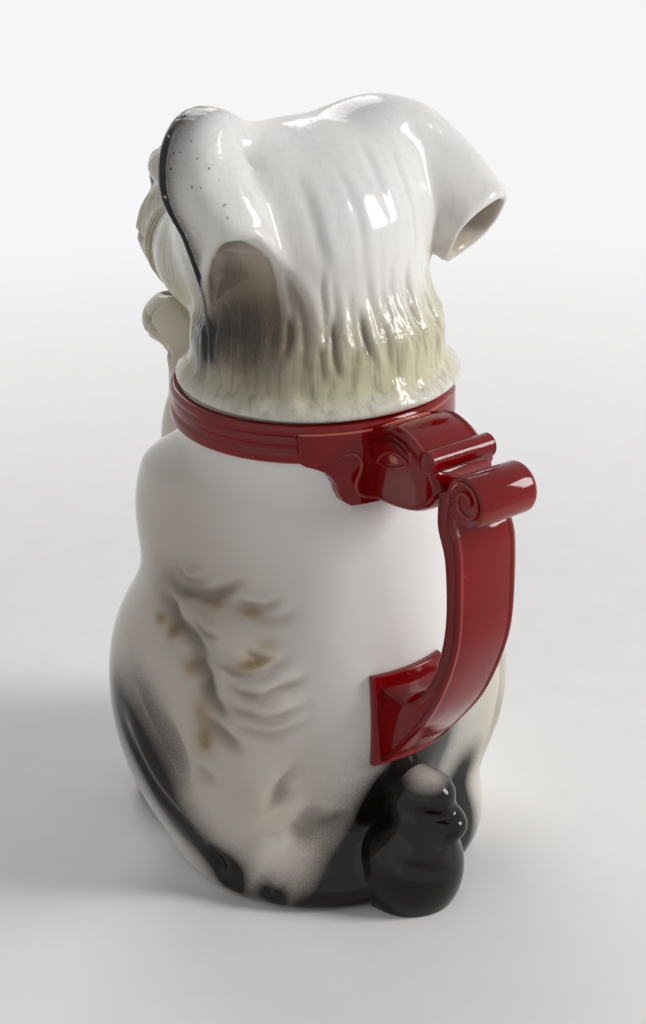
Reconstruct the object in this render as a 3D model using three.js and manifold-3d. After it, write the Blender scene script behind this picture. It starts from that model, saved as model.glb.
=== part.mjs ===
import * as THREE from 'three';
import { mergeVertices } from 'three/addons/utils/BufferGeometryUtils.js';
import loadManifold from 'manifold-3d';

// A teapot in the form of a sitting terrier. The head lifts off as the lid, a raised foreleg pours,
// and a red collar carries a scrolled strap handle down the back.
// Millimetres, +Z up. The origin is on the floor under the middle of the neck, the dog looks along -Y.

const wasm = await loadManifold();
wasm.setup();

// Main sizes of the pot
const rimHeight = 155;
const torsoRadius = 42;
const neckShare = 0.9095;
const neckRadius = neckShare * torsoRadius;
const neckShift = [1.4, -1.1];
const rimWidth = 4.7;
const mouthRadius = neckRadius - rimWidth;
const potWall = 4.2;
const floorThickness = 5;
const footRound = 2.5;
const bellyRoundShare = 0.08;
const bellyFloorShare = 0.8;
const neckBlend = 16;
const pieceGap = 0.3;
const overrun = 6;

// Collar
const collarWidth = 11.5;
const collarDepth = 3;
const collarRadius = neckRadius + collarDepth;
const collarRoll = 1.1;
const collarHollow = 2.7;

// Lid
const headHeight = 76;
const headInset = 2.2;
const headRadius = neckRadius - headInset;
const skirtInset = 0.2;
const skirtRadius = collarRadius - skirtInset;
const skirtHeight = 24;
const lidWall = 4;
const flangeWall = 3.2;
const flangeDepth = 9;
const flangeGrip = 6;
const flangeClearance = 0.6;

// Spout
const boreRadius = 5;
const boreRootRadius = 8;
const boreRootShare = 0.3;
const strainerHoleRadius = 1.7;
const strainerPitch = 5.2;

// Handle
const strapWidth = 21;
const strapEdgeRound = 1.6;
const plateThickness = 2.6;
const gripReach = 76;
const voluteRadius = 7;
const voluteReach = 78;
const voluteDrop = 10.2;
const voluteDome = 3.4;
const scrollLine = 0.9;
const spiralTurns = 1.6;
const spiralShares = [0.82, 0.22];
const beadRadius = 3.3;
const footPlateSpan = [0.303, 0.497];
const footPlateHalfWidth = 12.5;

// Ears
const earWall = 3;
const earSquareness = 2.6;

// Fineness of the surfaces
const bodyColumns = 38;
const bodyRows = 25;
const headColumns = 34;
const headRows = 18;
const muzzleColumns = 20;
const muzzleRows = 14;
const hollowColumns = 20;
const hollowRows = 12;
const limbColumns = 14;
const limbRows = 14;
const pawColumns = 18;
const pawRows = 12;
const boreColumns = 12;
const boreRows = 8;
const roundSteps = 40;
const domeSteps = 4;
const spiralSteps = 22;
const marchSteps = 40;
const halvings = 18;
const seamTolerance = 0.0003;

// Clay lumps of the body, as shares of torsoRadius across and of rimHeight up
const bodyShares = [
  { at: [0, 0.03, 0.4], half: [1.0, 0.98, 0.5] },
  { at: [0, -0.08, 0.73], half: [0.95, 0.95, 0.33] },
  { at: [0, -0.55, 0.6], half: [0.66, 0.5, 0.3] },
  { at: [0, 0.03, 0.035], half: [1.19, 1.14, 0.12] },
  { at: [-0.74, 0.28, 0.22], half: [0.44, 0.44, 0.2] },
];
const bodyPairShares = [
  { at: [0.96, -0.21, 0.335], half: [0.525, 0.96, 0.31] },
  { at: [0.74, -0.48, 0.72], half: [0.4, 0.5, 0.19] },
];
const bodySoftness = 4;

// Clay lumps of the head above the rim, as shares of headRadius across and of headHeight up
const skullShares = [
  { at: [0, -0.17, 0.535], half: [1.0, 0.98, 0.4] },
  { at: [0, 0, 0.2], half: [0.95, 0.94, 0.36] },
  { at: [0, -0.95, 0.55], half: [0.4, 0.5, 0.17] },
];
const skullPairShares = [
  { at: [0.5, -0.17, 0.7], half: [0.46, 0.6, 0.24] },
  { at: [0.42, -0.8, 0.4], half: [0.46, 0.52, 0.22] },
  { at: [0.45, -1.08, 0.715], half: [0.32, 0.36, 0.09] },
];
const muzzleShares = [
  { at: [0, -1.36, 0.46], half: [0.46, 0.8, 0.17] },
  { at: [0, -1.3, 0.6], half: [0.32, 0.84, 0.1] },
  { at: [0, -2.12, 0.56], half: [0.19, 0.15, 0.06] },
  { at: [0, -1.66, 0.285], half: [0.36, 0.48, 0.115] },
];
const muzzlePairShares = [
  { at: [0.27, -1.62, 0.37], half: [0.26, 0.54, 0.17] },
  { at: [0.42, -1.25, 0.37], half: [0.26, 0.44, 0.17] },
];
const headSoftness = 2;
const skullMiddleShares = [0, -0.2, 0.48];
const muzzleMiddleShares = [0, -1.5, 0.42];
const eyePairShares = [
  { at: [0.38, -1.22, 0.635], half: [0.12, 0.13, 0.058] },
];

// Outline of the flared skirt, as shares of skirtRadius out and of skirtHeight up
const skirtShares = [
  [0, 0],
  [0.985, 0],
  [1, 0.03],
  [0.995, 0.08],
  [0.95, 0.14],
  [0.9, 0.23],
  [0.873, 0.36],
  [0.868, 0.6],
  [0.78, 0.8],
  [0, 0.8],
];

// Spine of each ear, its half sizes along and across the fold, and where its mouth is cut, on the same shares
// as the head
const leftEar = {
  spineShares: [
    [0.46, -0.15, 0.64],
    [0.64, -0.13, 0.805],
    [0.88, -0.095, 0.905],
    [1.01, 0.03, 0.8],
    [0.95, 0.18, 0.665],
    [0.885, 0.27, 0.515],
    [0.84, 0.25, 0.38],
    [0.81, 0.22, 0.22],
  ],
  sectionShares: [
    [0.22, 0.22],
    [0.25, 0.27],
    [0.27, 0.28],
    [0.33, 0.28],
    [0.36, 0.27],
    [0.36, 0.27],
    [0.32, 0.26],
    [0.31, 0.26],
  ],
  mouthShares: [0.944, 0.542, 0.641],
  mouthWay: [0.477, 0.684, -0.553],
};
const rightEar = {
  spineShares: [
    [0.34, -0.16, 0.72],
    [0.61, -0.11, 0.825],
    [0.83, -0.03, 0.815],
    [1.0, 0.11, 0.73],
    [1.1, 0.31, 0.62],
    [1.17, 0.51, 0.515],
    [1.22, 0.78, 0.39],
  ],
  sectionShares: [
    [0.33, 0.26],
    [0.33, 0.3],
    [0.33, 0.32],
    [0.33, 0.32],
    [0.33, 0.33],
    [0.33, 0.33],
    [0.33, 0.33],
  ],
  mouthShares: [1.333, 0.667, 0.628],
  mouthWay: [0.25, 0.78, -0.57],
};
const earHollowShare = 0.48;

// Spine and lumps of the raised foreleg, as shares of torsoRadius across and of rimHeight up
const spoutSpineShares = [
  [0.5, -0.6, 0.66],
  [0.4, -1.02, 0.78],
  [0.26, -1.19, 0.9],
  [0.21, -1.25, 0.965],
  [0.2, -1.38, 1.005],
  [0.19, -1.5, 1.045],
];
const spoutShares = [
  { at: [0.5, -0.7, 0.7], half: [0.34, 0.42, 0.12] },
  { at: [0.38, -1.03, 0.79], half: [0.26, 0.28, 0.14] },
  { at: [0.26, -1.2, 0.9], half: [0.2, 0.2, 0.12] },
  { at: [0.21, -1.31, 0.985], half: [0.2, 0.22, 0.06] },
  { at: [0.2, -1.48, 1.015], half: [0.24, 0.28, 0.052] },
];
const toeShares = [
  { at: [0.04, -1.56, 1.0], half: [0.08, 0.15, 0.03] },
  { at: [0.14, -1.62, 0.99], half: [0.08, 0.15, 0.03] },
  { at: [0.25, -1.62, 0.99], half: [0.08, 0.15, 0.03] },
  { at: [0.35, -1.56, 1.0], half: [0.08, 0.15, 0.03] },
];
const spoutSoftness = 1.6;

// Standing foreleg, paws and tail, on the same shares as the body
const forelegSpineShares = [
  [-0.34, -1.02, 0],
  [-0.36, -1, 0.3],
  [-0.44, -0.55, 0.72],
];
const forelegShares = [
  { at: [-0.44, -0.95, 0.6], half: [0.3, 0.4, 0.2] },
  { at: [-0.36, -1.06, 0.3], half: [0.21, 0.25, 0.3] },
  { at: [-0.34, -1.05, 0.08], half: [0.19, 0.22, 0.1] },
];
const forePawShares = [
  { at: [-0.33, -1.14, 0.045], half: [0.22, 0.34, 0.066] },
  { at: [-0.45, -1.4, 0.035], half: [0.085, 0.2, 0.046] },
  { at: [-0.33, -1.46, 0.035], half: [0.085, 0.2, 0.046] },
  { at: [-0.21, -1.4, 0.035], half: [0.085, 0.2, 0.046] },
];
const forelegSoftness = 2;
const hindPawShares = [
  { at: [0.81, -0.87, 0.05], half: [0.24, 0.4, 0.075] },
  { at: [0.68, -1.15, 0.035], half: [0.09, 0.2, 0.045] },
  { at: [0.81, -1.18, 0.035], half: [0.09, 0.2, 0.045] },
  { at: [0.94, -1.08, 0.035], half: [0.09, 0.2, 0.045] },
];
const pawSoftness = 1.5;
const tailShares = [
  { at: [0.03, 1.1, 0.065], half: [0.38, 0.37, 0.12] },
  { at: [-0.1, 1.1, 0.235], half: [0.17, 0.18, 0.04] },
  { at: [-0.14, 1.24, 0.17], half: [0.13, 0.17, 0.032] },
  { at: [-0.02, 1.0, 0.18], half: [0.26, 0.24, 0.1] },
];
const tailSoftness = 1.6;
const tailMiddleShares = [0, 1, 0.14];

// Outlines on the handle. The strap and the bracket are seen from the side, as shares of gripReach out and
// of rimHeight up, and the two plates from behind, as shares of their half width and their height
const strapOuterShares = [
  [0.975, 0.93],
  [0.955, 0.885],
  [0.995, 0.83],
  [1.0, 0.69],
  [0.96, 0.6],
  [0.86, 0.49],
  [0.72, 0.395],
  [0.6, 0.325],
  [0.52, 0.29],
];
const strapInnerShares = [
  [0.52, 0.485],
  [0.62, 0.48],
  [0.72, 0.487],
  [0.81, 0.53],
  [0.88, 0.6],
  [0.92, 0.69],
  [0.915, 0.8],
  [0.87, 0.865],
  [0.875, 0.93],
];
const bracketTopShares = [
  [0.46, 0.978],
  [0.55, 0.993],
  [0.64, 1.008],
  [0.72, 1.002],
  [0.78, 0.985],
];
const bracketUnderShares = [
  [0.865, 0.955],
  [0.862, 0.9],
  [0.8, 0.872],
  [0.7, 0.858],
  [0.6, 0.85],
  [0.46, 0.848],
];
const beadShares = [0.828, 0.972];
const cartoucheDrop = 3;
const cartoucheHeight = 22;
const cartoucheHalfWidth = 26;
const cartoucheShares = [
  [1.0, 1.0],
  [1.0, 0.6],
  [0.86, 0.5],
  [0.75, 0.34],
  [0.68, 0.1],
  [0.62, 0],
];
const footPlateShares = [
  [0.7, 1.0],
  [1.0, 0.93],
  [1.0, 0.1],
  [0.9, 0],
];

// Colours of the glazes
const glazes = {
  white: { color: 0xe9e6de, roughness: 0.14 },
  cream: { color: 0xd9d2bc, roughness: 0.14 },
  black: { color: 0x1d1a1b, roughness: 0.12 },
  red: { color: 0x7d0a10, roughness: 0.1 },
};

// Clay: a lump is an ellipsoid, and a form is lumps that melt into each other
function makeLump(share, across, up, base, side) {
  return {
    at: [side * share.at[0] * across, share.at[1] * across, base + share.at[2] * up],
    half: [share.half[0] * across, share.half[1] * across, share.half[2] * up],
  };
}

function makeForm(shares, pairShares, across, up, base, softness) {
  const lumps = shares.map((share) => makeLump(share, across, up, base, 1));
  for (const share of pairShares) {
    lumps.push(makeLump(share, across, up, base, 1));
    lumps.push(makeLump(share, across, up, base, -1));
  }
  return { lumps, softness };
}

function lumpDistance(lump, point) {
  let square = 0;
  let slope = 0;
  for (let i = 0; i < 3; i += 1) {
    const part = (point[i] - lump.at[i]) / lump.half[i];
    square += part * part;
    slope += (part / lump.half[i]) ** 2;
  }
  const reach = Math.sqrt(square);
  return slope > 0 ? (reach * (reach - 1)) / Math.sqrt(slope) : -Math.min(...lump.half);
}

function formDistance(form, point) {
  let sum = 0;
  for (const lump of form.lumps) sum += Math.exp(-lumpDistance(lump, point) / form.softness);
  return -form.softness * Math.log(sum);
}

// How far a ray from start runs before it leaves the form for the last time
function reachOf(form, start, way, limit, offset) {
  const inside = (t) => formDistance(form, start.map((value, i) => value + way[i] * t)) < offset;
  let near = 0;
  for (let i = marchSteps - 1; i > 0; i -= 1) {
    if (inside((limit * i) / marchSteps)) {
      near = (limit * i) / marchSteps;
      break;
    }
  }
  let far = near + limit / marchSteps;
  for (let i = 0; i < halvings; i += 1) {
    const middle = (near + far) / 2;
    if (inside(middle)) near = middle;
    else far = middle;
  }
  return near;
}

// Solids: closed meshes go into the boolean library and come back as geometry
function toSolid(geometry) {
  const bare = geometry.clone();
  bare.deleteAttribute('normal');
  bare.deleteAttribute('uv');
  const merged = mergeVertices(bare, seamTolerance);
  return new wasm.Manifold(new wasm.Mesh({
    numProp: 3,
    vertProperties: new Float32Array(merged.attributes.position.array),
    triVerts: new Uint32Array(merged.index.array),
  }));
}

function toGeometry(solid) {
  const mesh = solid.getMesh();
  const geometry = new THREE.BufferGeometry();
  geometry.setAttribute('position', new THREE.BufferAttribute(new Float32Array(mesh.vertProperties), 3));
  geometry.setIndex(new THREE.BufferAttribute(new Uint32Array(mesh.triVerts), 1));
  geometry.computeVertexNormals();
  return geometry;
}

function box(low, high) {
  const size = high.map((value, i) => value - low[i]);
  const geometry = new THREE.BoxGeometry(...size);
  geometry.translate(...high.map((value, i) => (value + low[i]) / 2));
  return toSolid(geometry);
}

function lathe(profile) {
  const geometry = new THREE.LatheGeometry(profile.map(([r, z]) => new THREE.Vector2(r, z)), roundSteps);
  geometry.rotateX(Math.PI / 2);
  return toSolid(geometry);
}

// A ball whose points are pushed out from its middle to the form
function ballOnForm(form, middle, limit, offset, columns, rows) {
  const geometry = new THREE.SphereGeometry(1, columns, rows);
  geometry.rotateX(Math.PI / 2);
  const places = geometry.attributes.position;
  for (let i = 0; i < places.count; i += 1) {
    const way = [places.getX(i), places.getY(i), places.getZ(i)];
    const reach = reachOf(form, middle, way, limit, offset);
    places.setXYZ(i, ...middle.map((value, k) => value + way[k] * reach));
  }
  return toSolid(geometry);
}

// A capped tube whose rings stand square to a spine, each point at its own radius
function tubeOnSpine(spineAt, radiusAt, columns, rows) {
  const geometry = new THREE.CylinderGeometry(1, 1, 1, columns, rows);
  const places = geometry.attributes.position;
  for (let i = 0; i < places.count; i += 1) {
    const share = Math.min(1, Math.max(0, places.getY(i) + 0.5));
    const { point, along, across } = spineAt(share);
    const side = across.clone().addScaledVector(along, -along.dot(across)).normalize();
    const front = along.clone().cross(side);
    const turn = [places.getX(i), -places.getZ(i)];
    const way = side.multiplyScalar(turn[0]).addScaledVector(front, turn[1]);
    const rim = way.length() > 0.5;
    if (rim) point.addScaledVector(way, radiusAt(point.toArray(), way.toArray(), share, turn));
    places.setXYZ(i, point.x, point.y, point.z);
  }
  return toSolid(geometry);
}

function curvedSpine(points, across) {
  const curve = new THREE.CatmullRomCurve3(points.map((point) => new THREE.Vector3(...point)), false,
    'centripetal');
  return (share) => ({ point: curve.getPointAt(share), along: curve.getTangentAt(share), across });
}

function uprightSpine(bottom, top) {
  return (share) => ({
    point: new THREE.Vector3(0, 0, bottom + (top - bottom) * share),
    along: new THREE.Vector3(0, 0, 1),
    across: new THREE.Vector3(1, 0, 0),
  });
}

// Radius of the pot's outside at a height, round at the neck and clay below it
const bodyForm = makeForm(bodyShares, bodyPairShares, torsoRadius, rimHeight, 0, bodySoftness);
const collarBottom = rimHeight - collarWidth;

// The neck and its collar are a little off the axis of the mouth, as thrown by the mould
function shiftedCircle(radius, way) {
  const along = neckShift[0] * way[0] + neckShift[1] * way[1];
  const square = neckShift[0] ** 2 + neckShift[1] ** 2;
  return along + Math.sqrt(radius * radius - square + along * along);
}

function potRadius(point, way, offset) {
  const height = Math.max(point[2], 0);
  const share = THREE.MathUtils.smoothstep(height, collarBottom - neckBlend, collarBottom);
  const clay = reachOf(bodyForm, [0, 0, height], way, 2 * torsoRadius, offset);
  return clay * (1 - share) + shiftedCircle(neckRadius + offset, way) * share;
}

// The pot's outside grown by an offset, on the same rows as the pot, with the collar or the bare neck
function grownPot(offset, neck, neckBottom) {
  const clay = tubeOnSpine(uprightSpine(0, rimHeight), (point, way) => potRadius(point, way, offset),
    bodyColumns, bodyRows);
  const ring = tubeOnSpine(uprightSpine(neckBottom - offset, rimHeight + overrun),
    (point, way) => shiftedCircle(neck + offset, way), bodyColumns, 1);
  return clay.add(ring);
}

const potCutter = grownPot(pieceGap, neckRadius, rimHeight - overrun);
const dressedCutter = grownPot(pieceGap, collarRadius, collarBottom);
const belowFloor = box([-rimHeight, -rimHeight, -rimHeight], [rimHeight, rimHeight, 0]);

// The pot's casting: clay outside with a rounded foot, an even wall, and a strainer pierced behind the spout
function bodyPoint(shares) {
  return [shares[0] * torsoRadius, shares[1] * torsoRadius, shares[2] * rimHeight];
}

const sideways = new THREE.Vector3(1, 0, 0);
const spoutSpine = curvedSpine(spoutSpineShares.map(bodyPoint), sideways);

function strainerHoles() {
  const { point, along } = spoutSpine(0);
  const side = sideways.clone().addScaledVector(along, -along.x).normalize();
  const front = along.clone().cross(side);
  const turn = new THREE.Quaternion().setFromUnitVectors(new THREE.Vector3(0, 1, 0), along);
  const ring = 6;
  let holes = null;
  for (let i = 0; i <= ring; i += 1) {
    const out = i === ring ? 0 : strainerPitch;
    const angle = (i * 2 * Math.PI) / ring;
    const place = point.clone();
    place.addScaledVector(side, out * Math.cos(angle)).addScaledVector(front, out * Math.sin(angle));
    const hole = new THREE.CylinderGeometry(strainerHoleRadius, strainerHoleRadius, torsoRadius, 8);
    hole.applyQuaternion(turn);
    hole.translate(...place.toArray());
    holes = holes ? holes.add(toSolid(hole)) : toSolid(hole);
  }
  return holes;
}

function bodyShell() {
  const radiusAt = (point, way) => {
    const full = potRadius(point, way, 0);
    const drop = Math.max(0, 1 - point[2] / footRound);
    return full - footRound * (1 - Math.sqrt(1 - drop * drop));
  };
  const outside = tubeOnSpine(uprightSpine(0, rimHeight), radiusAt, bodyColumns, bodyRows);
  const belly = (point, way, share) => {
    const room = potRadius(point, way, -potWall);
    const narrow = THREE.MathUtils.smoothstep(point[2], collarBottom - neckBlend, collarBottom);
    const round = Math.sqrt(1 - (1 - Math.min(1, share / bellyRoundShare)) ** 2);
    return (room * (1 - narrow) + Math.min(room, mouthRadius) * narrow)
      * (bellyFloorShare + (1 - bellyFloorShare) * round);
  };
  const inside = tubeOnSpine(uprightSpine(floorThickness, collarBottom), belly, headColumns, limbRows);
  const mouth = tubeOnSpine(uprightSpine(collarBottom - overrun, rimHeight + overrun), () => mouthRadius,
    roundSteps, 1);
  return outside.subtract(inside).subtract(mouth).subtract(strainerHoles());
}

// Collar: a band round the neck with a rolled edge above and below and a shallow channel between
function collarBand() {
  const inner = neckRadius + pieceGap;
  const top = rimHeight - pieceGap;
  const channel = collarRadius - collarRoll;
  const band = lathe([
    [inner, collarBottom],
    [channel, collarBottom],
    [collarRadius, collarBottom + collarRoll],
    [channel, collarBottom + collarHollow],
    [channel, top - collarHollow],
    [collarRadius, top - collarRoll],
    [channel, top],
    [inner, top],
    [inner, collarBottom],
  ]);
  return band.translate([...neckShift, 0]);
}

// Raised foreleg: a limb that bends at the wrist and opens between its toes, bored from end to end
const spoutForm = makeForm([...spoutShares, ...toeShares], [], torsoRadius, rimHeight, 0, spoutSoftness);

function spoutForeleg() {
  const limb = tubeOnSpine(spoutSpine, (point, way) => reachOf(spoutForm, point, way, torsoRadius / 2, 0),
    hollowColumns, limbRows + boreRows);
  const longer = (share) => {
    const place = spoutSpine(share);
    if (share === 1) place.point.addScaledVector(place.along, overrun);
    return place;
  };
  const bore = tubeOnSpine(longer, (point, way, share) => THREE.MathUtils.lerp(boreRootRadius, boreRadius,
    THREE.MathUtils.smoothstep(share, 0, boreRootShare)), boreColumns, boreRows);
  return limb.subtract(bore).subtract(dressedCutter);
}

// A paw with three toes, flat under the sole
function paw(shares, side) {
  const form = makeForm(shares, [], torsoRadius, rimHeight, 0, pawSoftness);
  for (const lump of form.lumps) lump.at[0] *= side;
  const ball = ballOnForm(form, [...form.lumps[0].at], torsoRadius, 0, pawColumns, pawRows);
  return ball.subtract(belowFloor);
}

// Standing foreleg, down the chest to its paw
function standingForeleg() {
  const form = makeForm(forelegShares, [], torsoRadius, rimHeight, 0, forelegSoftness);
  const spine = curvedSpine(forelegSpineShares.map(bodyPoint), sideways);
  const limb = tubeOnSpine(spine, (point, way) => reachOf(form, point, way, torsoRadius, 0),
    limbColumns, limbRows);
  return limb.add(paw(forePawShares, 1)).subtract(potCutter);
}

// Hind paw, in front of the haunch
function hindPaw(side) {
  return paw(hindPawShares, side).subtract(potCutter);
}

// Tail, curled down on the floor under the handle
function tail() {
  const form = makeForm(tailShares, [], torsoRadius, rimHeight, 0, tailSoftness);
  const middle = bodyPoint(tailMiddleShares);
  const lumps = ballOnForm(form, middle, torsoRadius, 0, hollowColumns, limbRows);
  return lumps.subtract(belowFloor).subtract(potCutter);
}

// An outline in the side view, pushed through the strap's width with rounded edges
function sideExtrusion(points, width) {
  const shape = new THREE.Shape(points.map(([y, z]) => new THREE.Vector2(y, z)));
  const geometry = new THREE.ExtrudeGeometry(shape, {
    depth: width - 2 * strapEdgeRound,
    bevelEnabled: true,
    bevelThickness: strapEdgeRound,
    bevelSize: strapEdgeRound,
    bevelOffset: -strapEdgeRound,
    bevelSegments: 2,
    curveSegments: 6,
  });
  geometry.translate(0, 0, -width / 2 + strapEdgeRound);
  geometry.applyMatrix4(new THREE.Matrix4().makeBasis(
    new THREE.Vector3(0, 1, 0), new THREE.Vector3(0, 0, 1), new THREE.Vector3(1, 0, 0)));
  return toSolid(geometry);
}

// A smooth line through shares of gripReach out and rimHeight up
function handleLine(shares, steps) {
  const points = shares.map(([out, up]) => new THREE.Vector2(out * gripReach, up * rimHeight));
  return new THREE.SplineCurve(points).getPoints(steps).map((point) => point.toArray());
}

// A plate that lies on the back of the pot with the given outline
function backPlate(shares, halfWidth, bottom, top) {
  const right = shares.map(([x, z]) => [x * halfWidth, bottom + z * (top - bottom)]);
  const left = [...right].reverse().map(([x, z]) => [-x, z]);
  const shape = new THREE.Shape([...left, ...right].map(([x, z]) => new THREE.Vector2(-x, z)));
  const geometry = new THREE.ExtrudeGeometry(shape, { depth: gripReach, bevelEnabled: false });
  geometry.applyMatrix4(new THREE.Matrix4().makeBasis(
    new THREE.Vector3(-1, 0, 0), new THREE.Vector3(0, 0, 1), new THREE.Vector3(0, 1, 0)));
  const skin = grownPot(pieceGap + plateThickness, collarRadius, collarBottom);
  return toSolid(geometry).intersect(skin);
}

const voluteHeight = rimHeight - voluteDrop;

function voluteRoll(extra) {
  const half = strapWidth / 2;
  const radius = voluteRadius + extra;
  const profile = [[0, -half - extra], [radius - scrollLine, -half - extra], [radius, -half + scrollLine]];
  for (let i = 0; i <= domeSteps; i += 1) {
    const angle = (i * Math.PI) / (2 * domeSteps);
    const out = half - voluteDome + (voluteDome + scrollLine + extra) * Math.sin(angle);
    profile.push([i === domeSteps ? 0 : radius * Math.cos(angle), out]);
  }
  const roll = lathe(profile);
  return roll.rotate([0, -90, 0]).translate([0, voluteReach, voluteHeight]);
}

// Volute: the strap's rolled end, its left face carrying a raised spiral line
function handleVolute() {
  const points = [];
  for (let i = 0; i <= spiralSteps; i += 1) {
    const angle = (i / spiralSteps) * spiralTurns * 2 * Math.PI;
    const out = voluteRadius * THREE.MathUtils.lerp(...spiralShares, i / spiralSteps);
    const height = voluteHeight + out * Math.sin(angle);
    points.push(new THREE.Vector3(strapWidth / 2, voluteReach - out * Math.cos(angle), height));
  }
  const line = new THREE.Shape().absarc(0, 0, scrollLine / 2, 0, 2 * Math.PI);
  const path = new THREE.CatmullRomCurve3(points);
  const spiral = new THREE.ExtrudeGeometry(line, {
    steps: spiralSteps, extrudePath: path, bevelEnabled: false, curveSegments: 3,
  });
  return voluteRoll(0).add(toSolid(spiral));
}

// Bracket: a drop plate on the collar, a tongue arching out of it and a bead before the volute
function handleBracket() {
  const top = handleLine(bracketTopShares, 8);
  const under = handleLine(bracketUnderShares, 8);
  const tongue = sideExtrusion([...top, ...under].reverse(), strapWidth);
  const bead = new THREE.CylinderGeometry(beadRadius, beadRadius, strapWidth, 16);
  bead.rotateZ(Math.PI / 2);
  bead.translate(0, beadShares[0] * gripReach, beadShares[1] * rimHeight);
  const plateTop = rimHeight - cartoucheDrop;
  const plate = backPlate(cartoucheShares, cartoucheHalfWidth, plateTop - cartoucheHeight, plateTop);
  return tongue.add(toSolid(bead)).add(plate).subtract(dressedCutter)
    .subtract(voluteRoll(pieceGap)).subtract(strapSolid(pieceGap));
}

function strapSolid(extra) {
  const outer = handleLine(strapOuterShares, 16);
  const inner = handleLine(strapInnerShares, 16);
  return sideExtrusion([...outer, ...inner].reverse(), strapWidth + 2 * extra);
}

// Strap: the grip itself, from the volute down to the foot plate
function handleStrap() {
  const plateSkin = grownPot(2 * pieceGap + plateThickness, collarRadius, collarBottom);
  return strapSolid(0).subtract(voluteRoll(pieceGap)).subtract(plateSkin);
}

// Foot plate, where the strap lands on the dog's back
function handleFootPlate() {
  const [bottom, top] = footPlateSpan.map((share) => share * rimHeight);
  return backPlate(footPlateShares, footPlateHalfWidth, bottom, top).subtract(potCutter);
}

// Head of the lid: skull and face in clay over the turned skirt that covers the rim, hollow inside
const headBase = rimHeight + pieceGap;
const skullForm = makeForm(skullShares, skullPairShares, headRadius, headHeight, headBase, headSoftness);
const muzzleForm = makeForm(muzzleShares, muzzlePairShares, headRadius, headHeight, headBase, headSoftness);
const belowRim = box([-rimHeight, -rimHeight, -overrun], [rimHeight, rimHeight, headBase]);

function headPoint(shares) {
  return [shares[0] * headRadius, shares[1] * headRadius, headBase + shares[2] * headHeight];
}

function skull(offset, columns, rows) {
  return ballOnForm(skullForm, headPoint(skullMiddleShares), 2 * headRadius, offset, columns, rows);
}

function muzzle(offset, columns, rows) {
  return ballOnForm(muzzleForm, headPoint(muzzleMiddleShares), 2 * headRadius, offset, columns, rows);
}

// Eyes, each an egg of clay set into the face under its brow
function eyes() {
  const form = makeForm([], eyePairShares, headRadius, headHeight, headBase, headSoftness);
  const eggs = form.lumps.map((lump) => {
    const geometry = new THREE.SphereGeometry(1, boreColumns, boreRows);
    geometry.scale(...lump.half);
    geometry.translate(...lump.at);
    return toSolid(geometry);
  });
  return wasm.Manifold.union(eggs);
}

const skullCutter = skull(pieceGap, headColumns, headRows);
const flangeRadius = mouthRadius - flangeClearance;

function headShell() {
  const skirt = lathe(skirtShares.map(([r, z]) => [r * skirtRadius, headBase + z * skirtHeight]));
  const outside = skull(0, headColumns, headRows).subtract(belowRim).add(skirt)
    .add(muzzle(0, muzzleColumns, muzzleRows)).add(eyes());
  const hollow = skull(-lidWall, hollowColumns, hollowRows).add(muzzle(-lidWall, boreColumns, boreRows));
  const socket = flangeRadius + pieceGap;
  const opening = lathe([
    [0, headBase - overrun],
    [socket, headBase - overrun],
    [socket, headBase + flangeGrip + pieceGap],
    [0, headBase + flangeGrip + pieceGap],
  ]);
  return outside.subtract(hollow).subtract(opening);
}

// Flange: the ring inside the skirt that drops into the neck and stops the lid from sliding off
function lidFlange() {
  const inner = flangeRadius - flangeWall;
  const foot = headBase - flangeDepth;
  const top = headBase + flangeGrip;
  return lathe([
    [inner, foot],
    [flangeRadius - flangeWall / 3, foot],
    [flangeRadius, foot + flangeWall / 2],
    [flangeRadius, top],
    [inner, top],
    [inner, foot],
  ]);
}

// Everything beyond a plane through a point
function beyond(point, way) {
  const size = 4 * headRadius;
  const geometry = new THREE.BoxGeometry(size, size, size);
  geometry.translate(0, 0, size / 2);
  const turn = new THREE.Quaternion();
  turn.setFromUnitVectors(new THREE.Vector3(0, 0, 1), new THREE.Vector3(...way).normalize());
  geometry.applyQuaternion(turn);
  geometry.translate(...point);
  return toSolid(geometry);
}

// Ear: a flap folded over from the crown, hollow, its mouth cut slanting down and back
function ear(side, shares) {
  const mirrored = (point) => [side * point[0], point[1], point[2]];
  const points = shares.spineShares.map((place) => mirrored(headPoint(place)));
  const spine = curvedSpine(points, new THREE.Vector3(0, 1, 0));
  const sections = new THREE.SplineCurve(shares.sectionShares.map((half) => new THREE.Vector2(...half)));
  const ellipse = (share, turn, wall) => {
    const half = sections.getPoint(share).multiplyScalar(headRadius).subScalar(wall);
    const parts = [turn[0] / half.x, turn[1] / half.y].map((part) => Math.abs(part) ** earSquareness);
    return (parts[0] + parts[1]) ** (-1 / earSquareness);
  };
  const flap = tubeOnSpine(spine, (point, way, share, turn) => ellipse(share, turn, 0),
    hollowColumns, hollowRows);
  const later = (share) => earHollowShare + (1 - earHollowShare) * share;
  const longer = (share) => {
    const place = spine(later(share));
    if (share === 1) place.point.addScaledVector(place.along, overrun);
    return place;
  };
  const hollow = tubeOnSpine(longer, (point, way, share, turn) => ellipse(later(share), turn, earWall),
    limbColumns, boreRows);
  const mouth = beyond(mirrored(headPoint(shares.mouthShares)), mirrored(shares.mouthWay));
  return flap.subtract(hollow).subtract(mouth).subtract(skullCutter);
}

// The assembly
const pot = new THREE.Group();

function addPiece(name, solid, glaze) {
  const settings = glazes[glaze];
  const material = new THREE.MeshStandardMaterial({
    name: glaze, color: settings.color, roughness: settings.roughness, metalness: 0,
  });
  const mesh = new THREE.Mesh(toGeometry(solid), material);
  mesh.name = name;
  pot.add(mesh);
}

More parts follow.
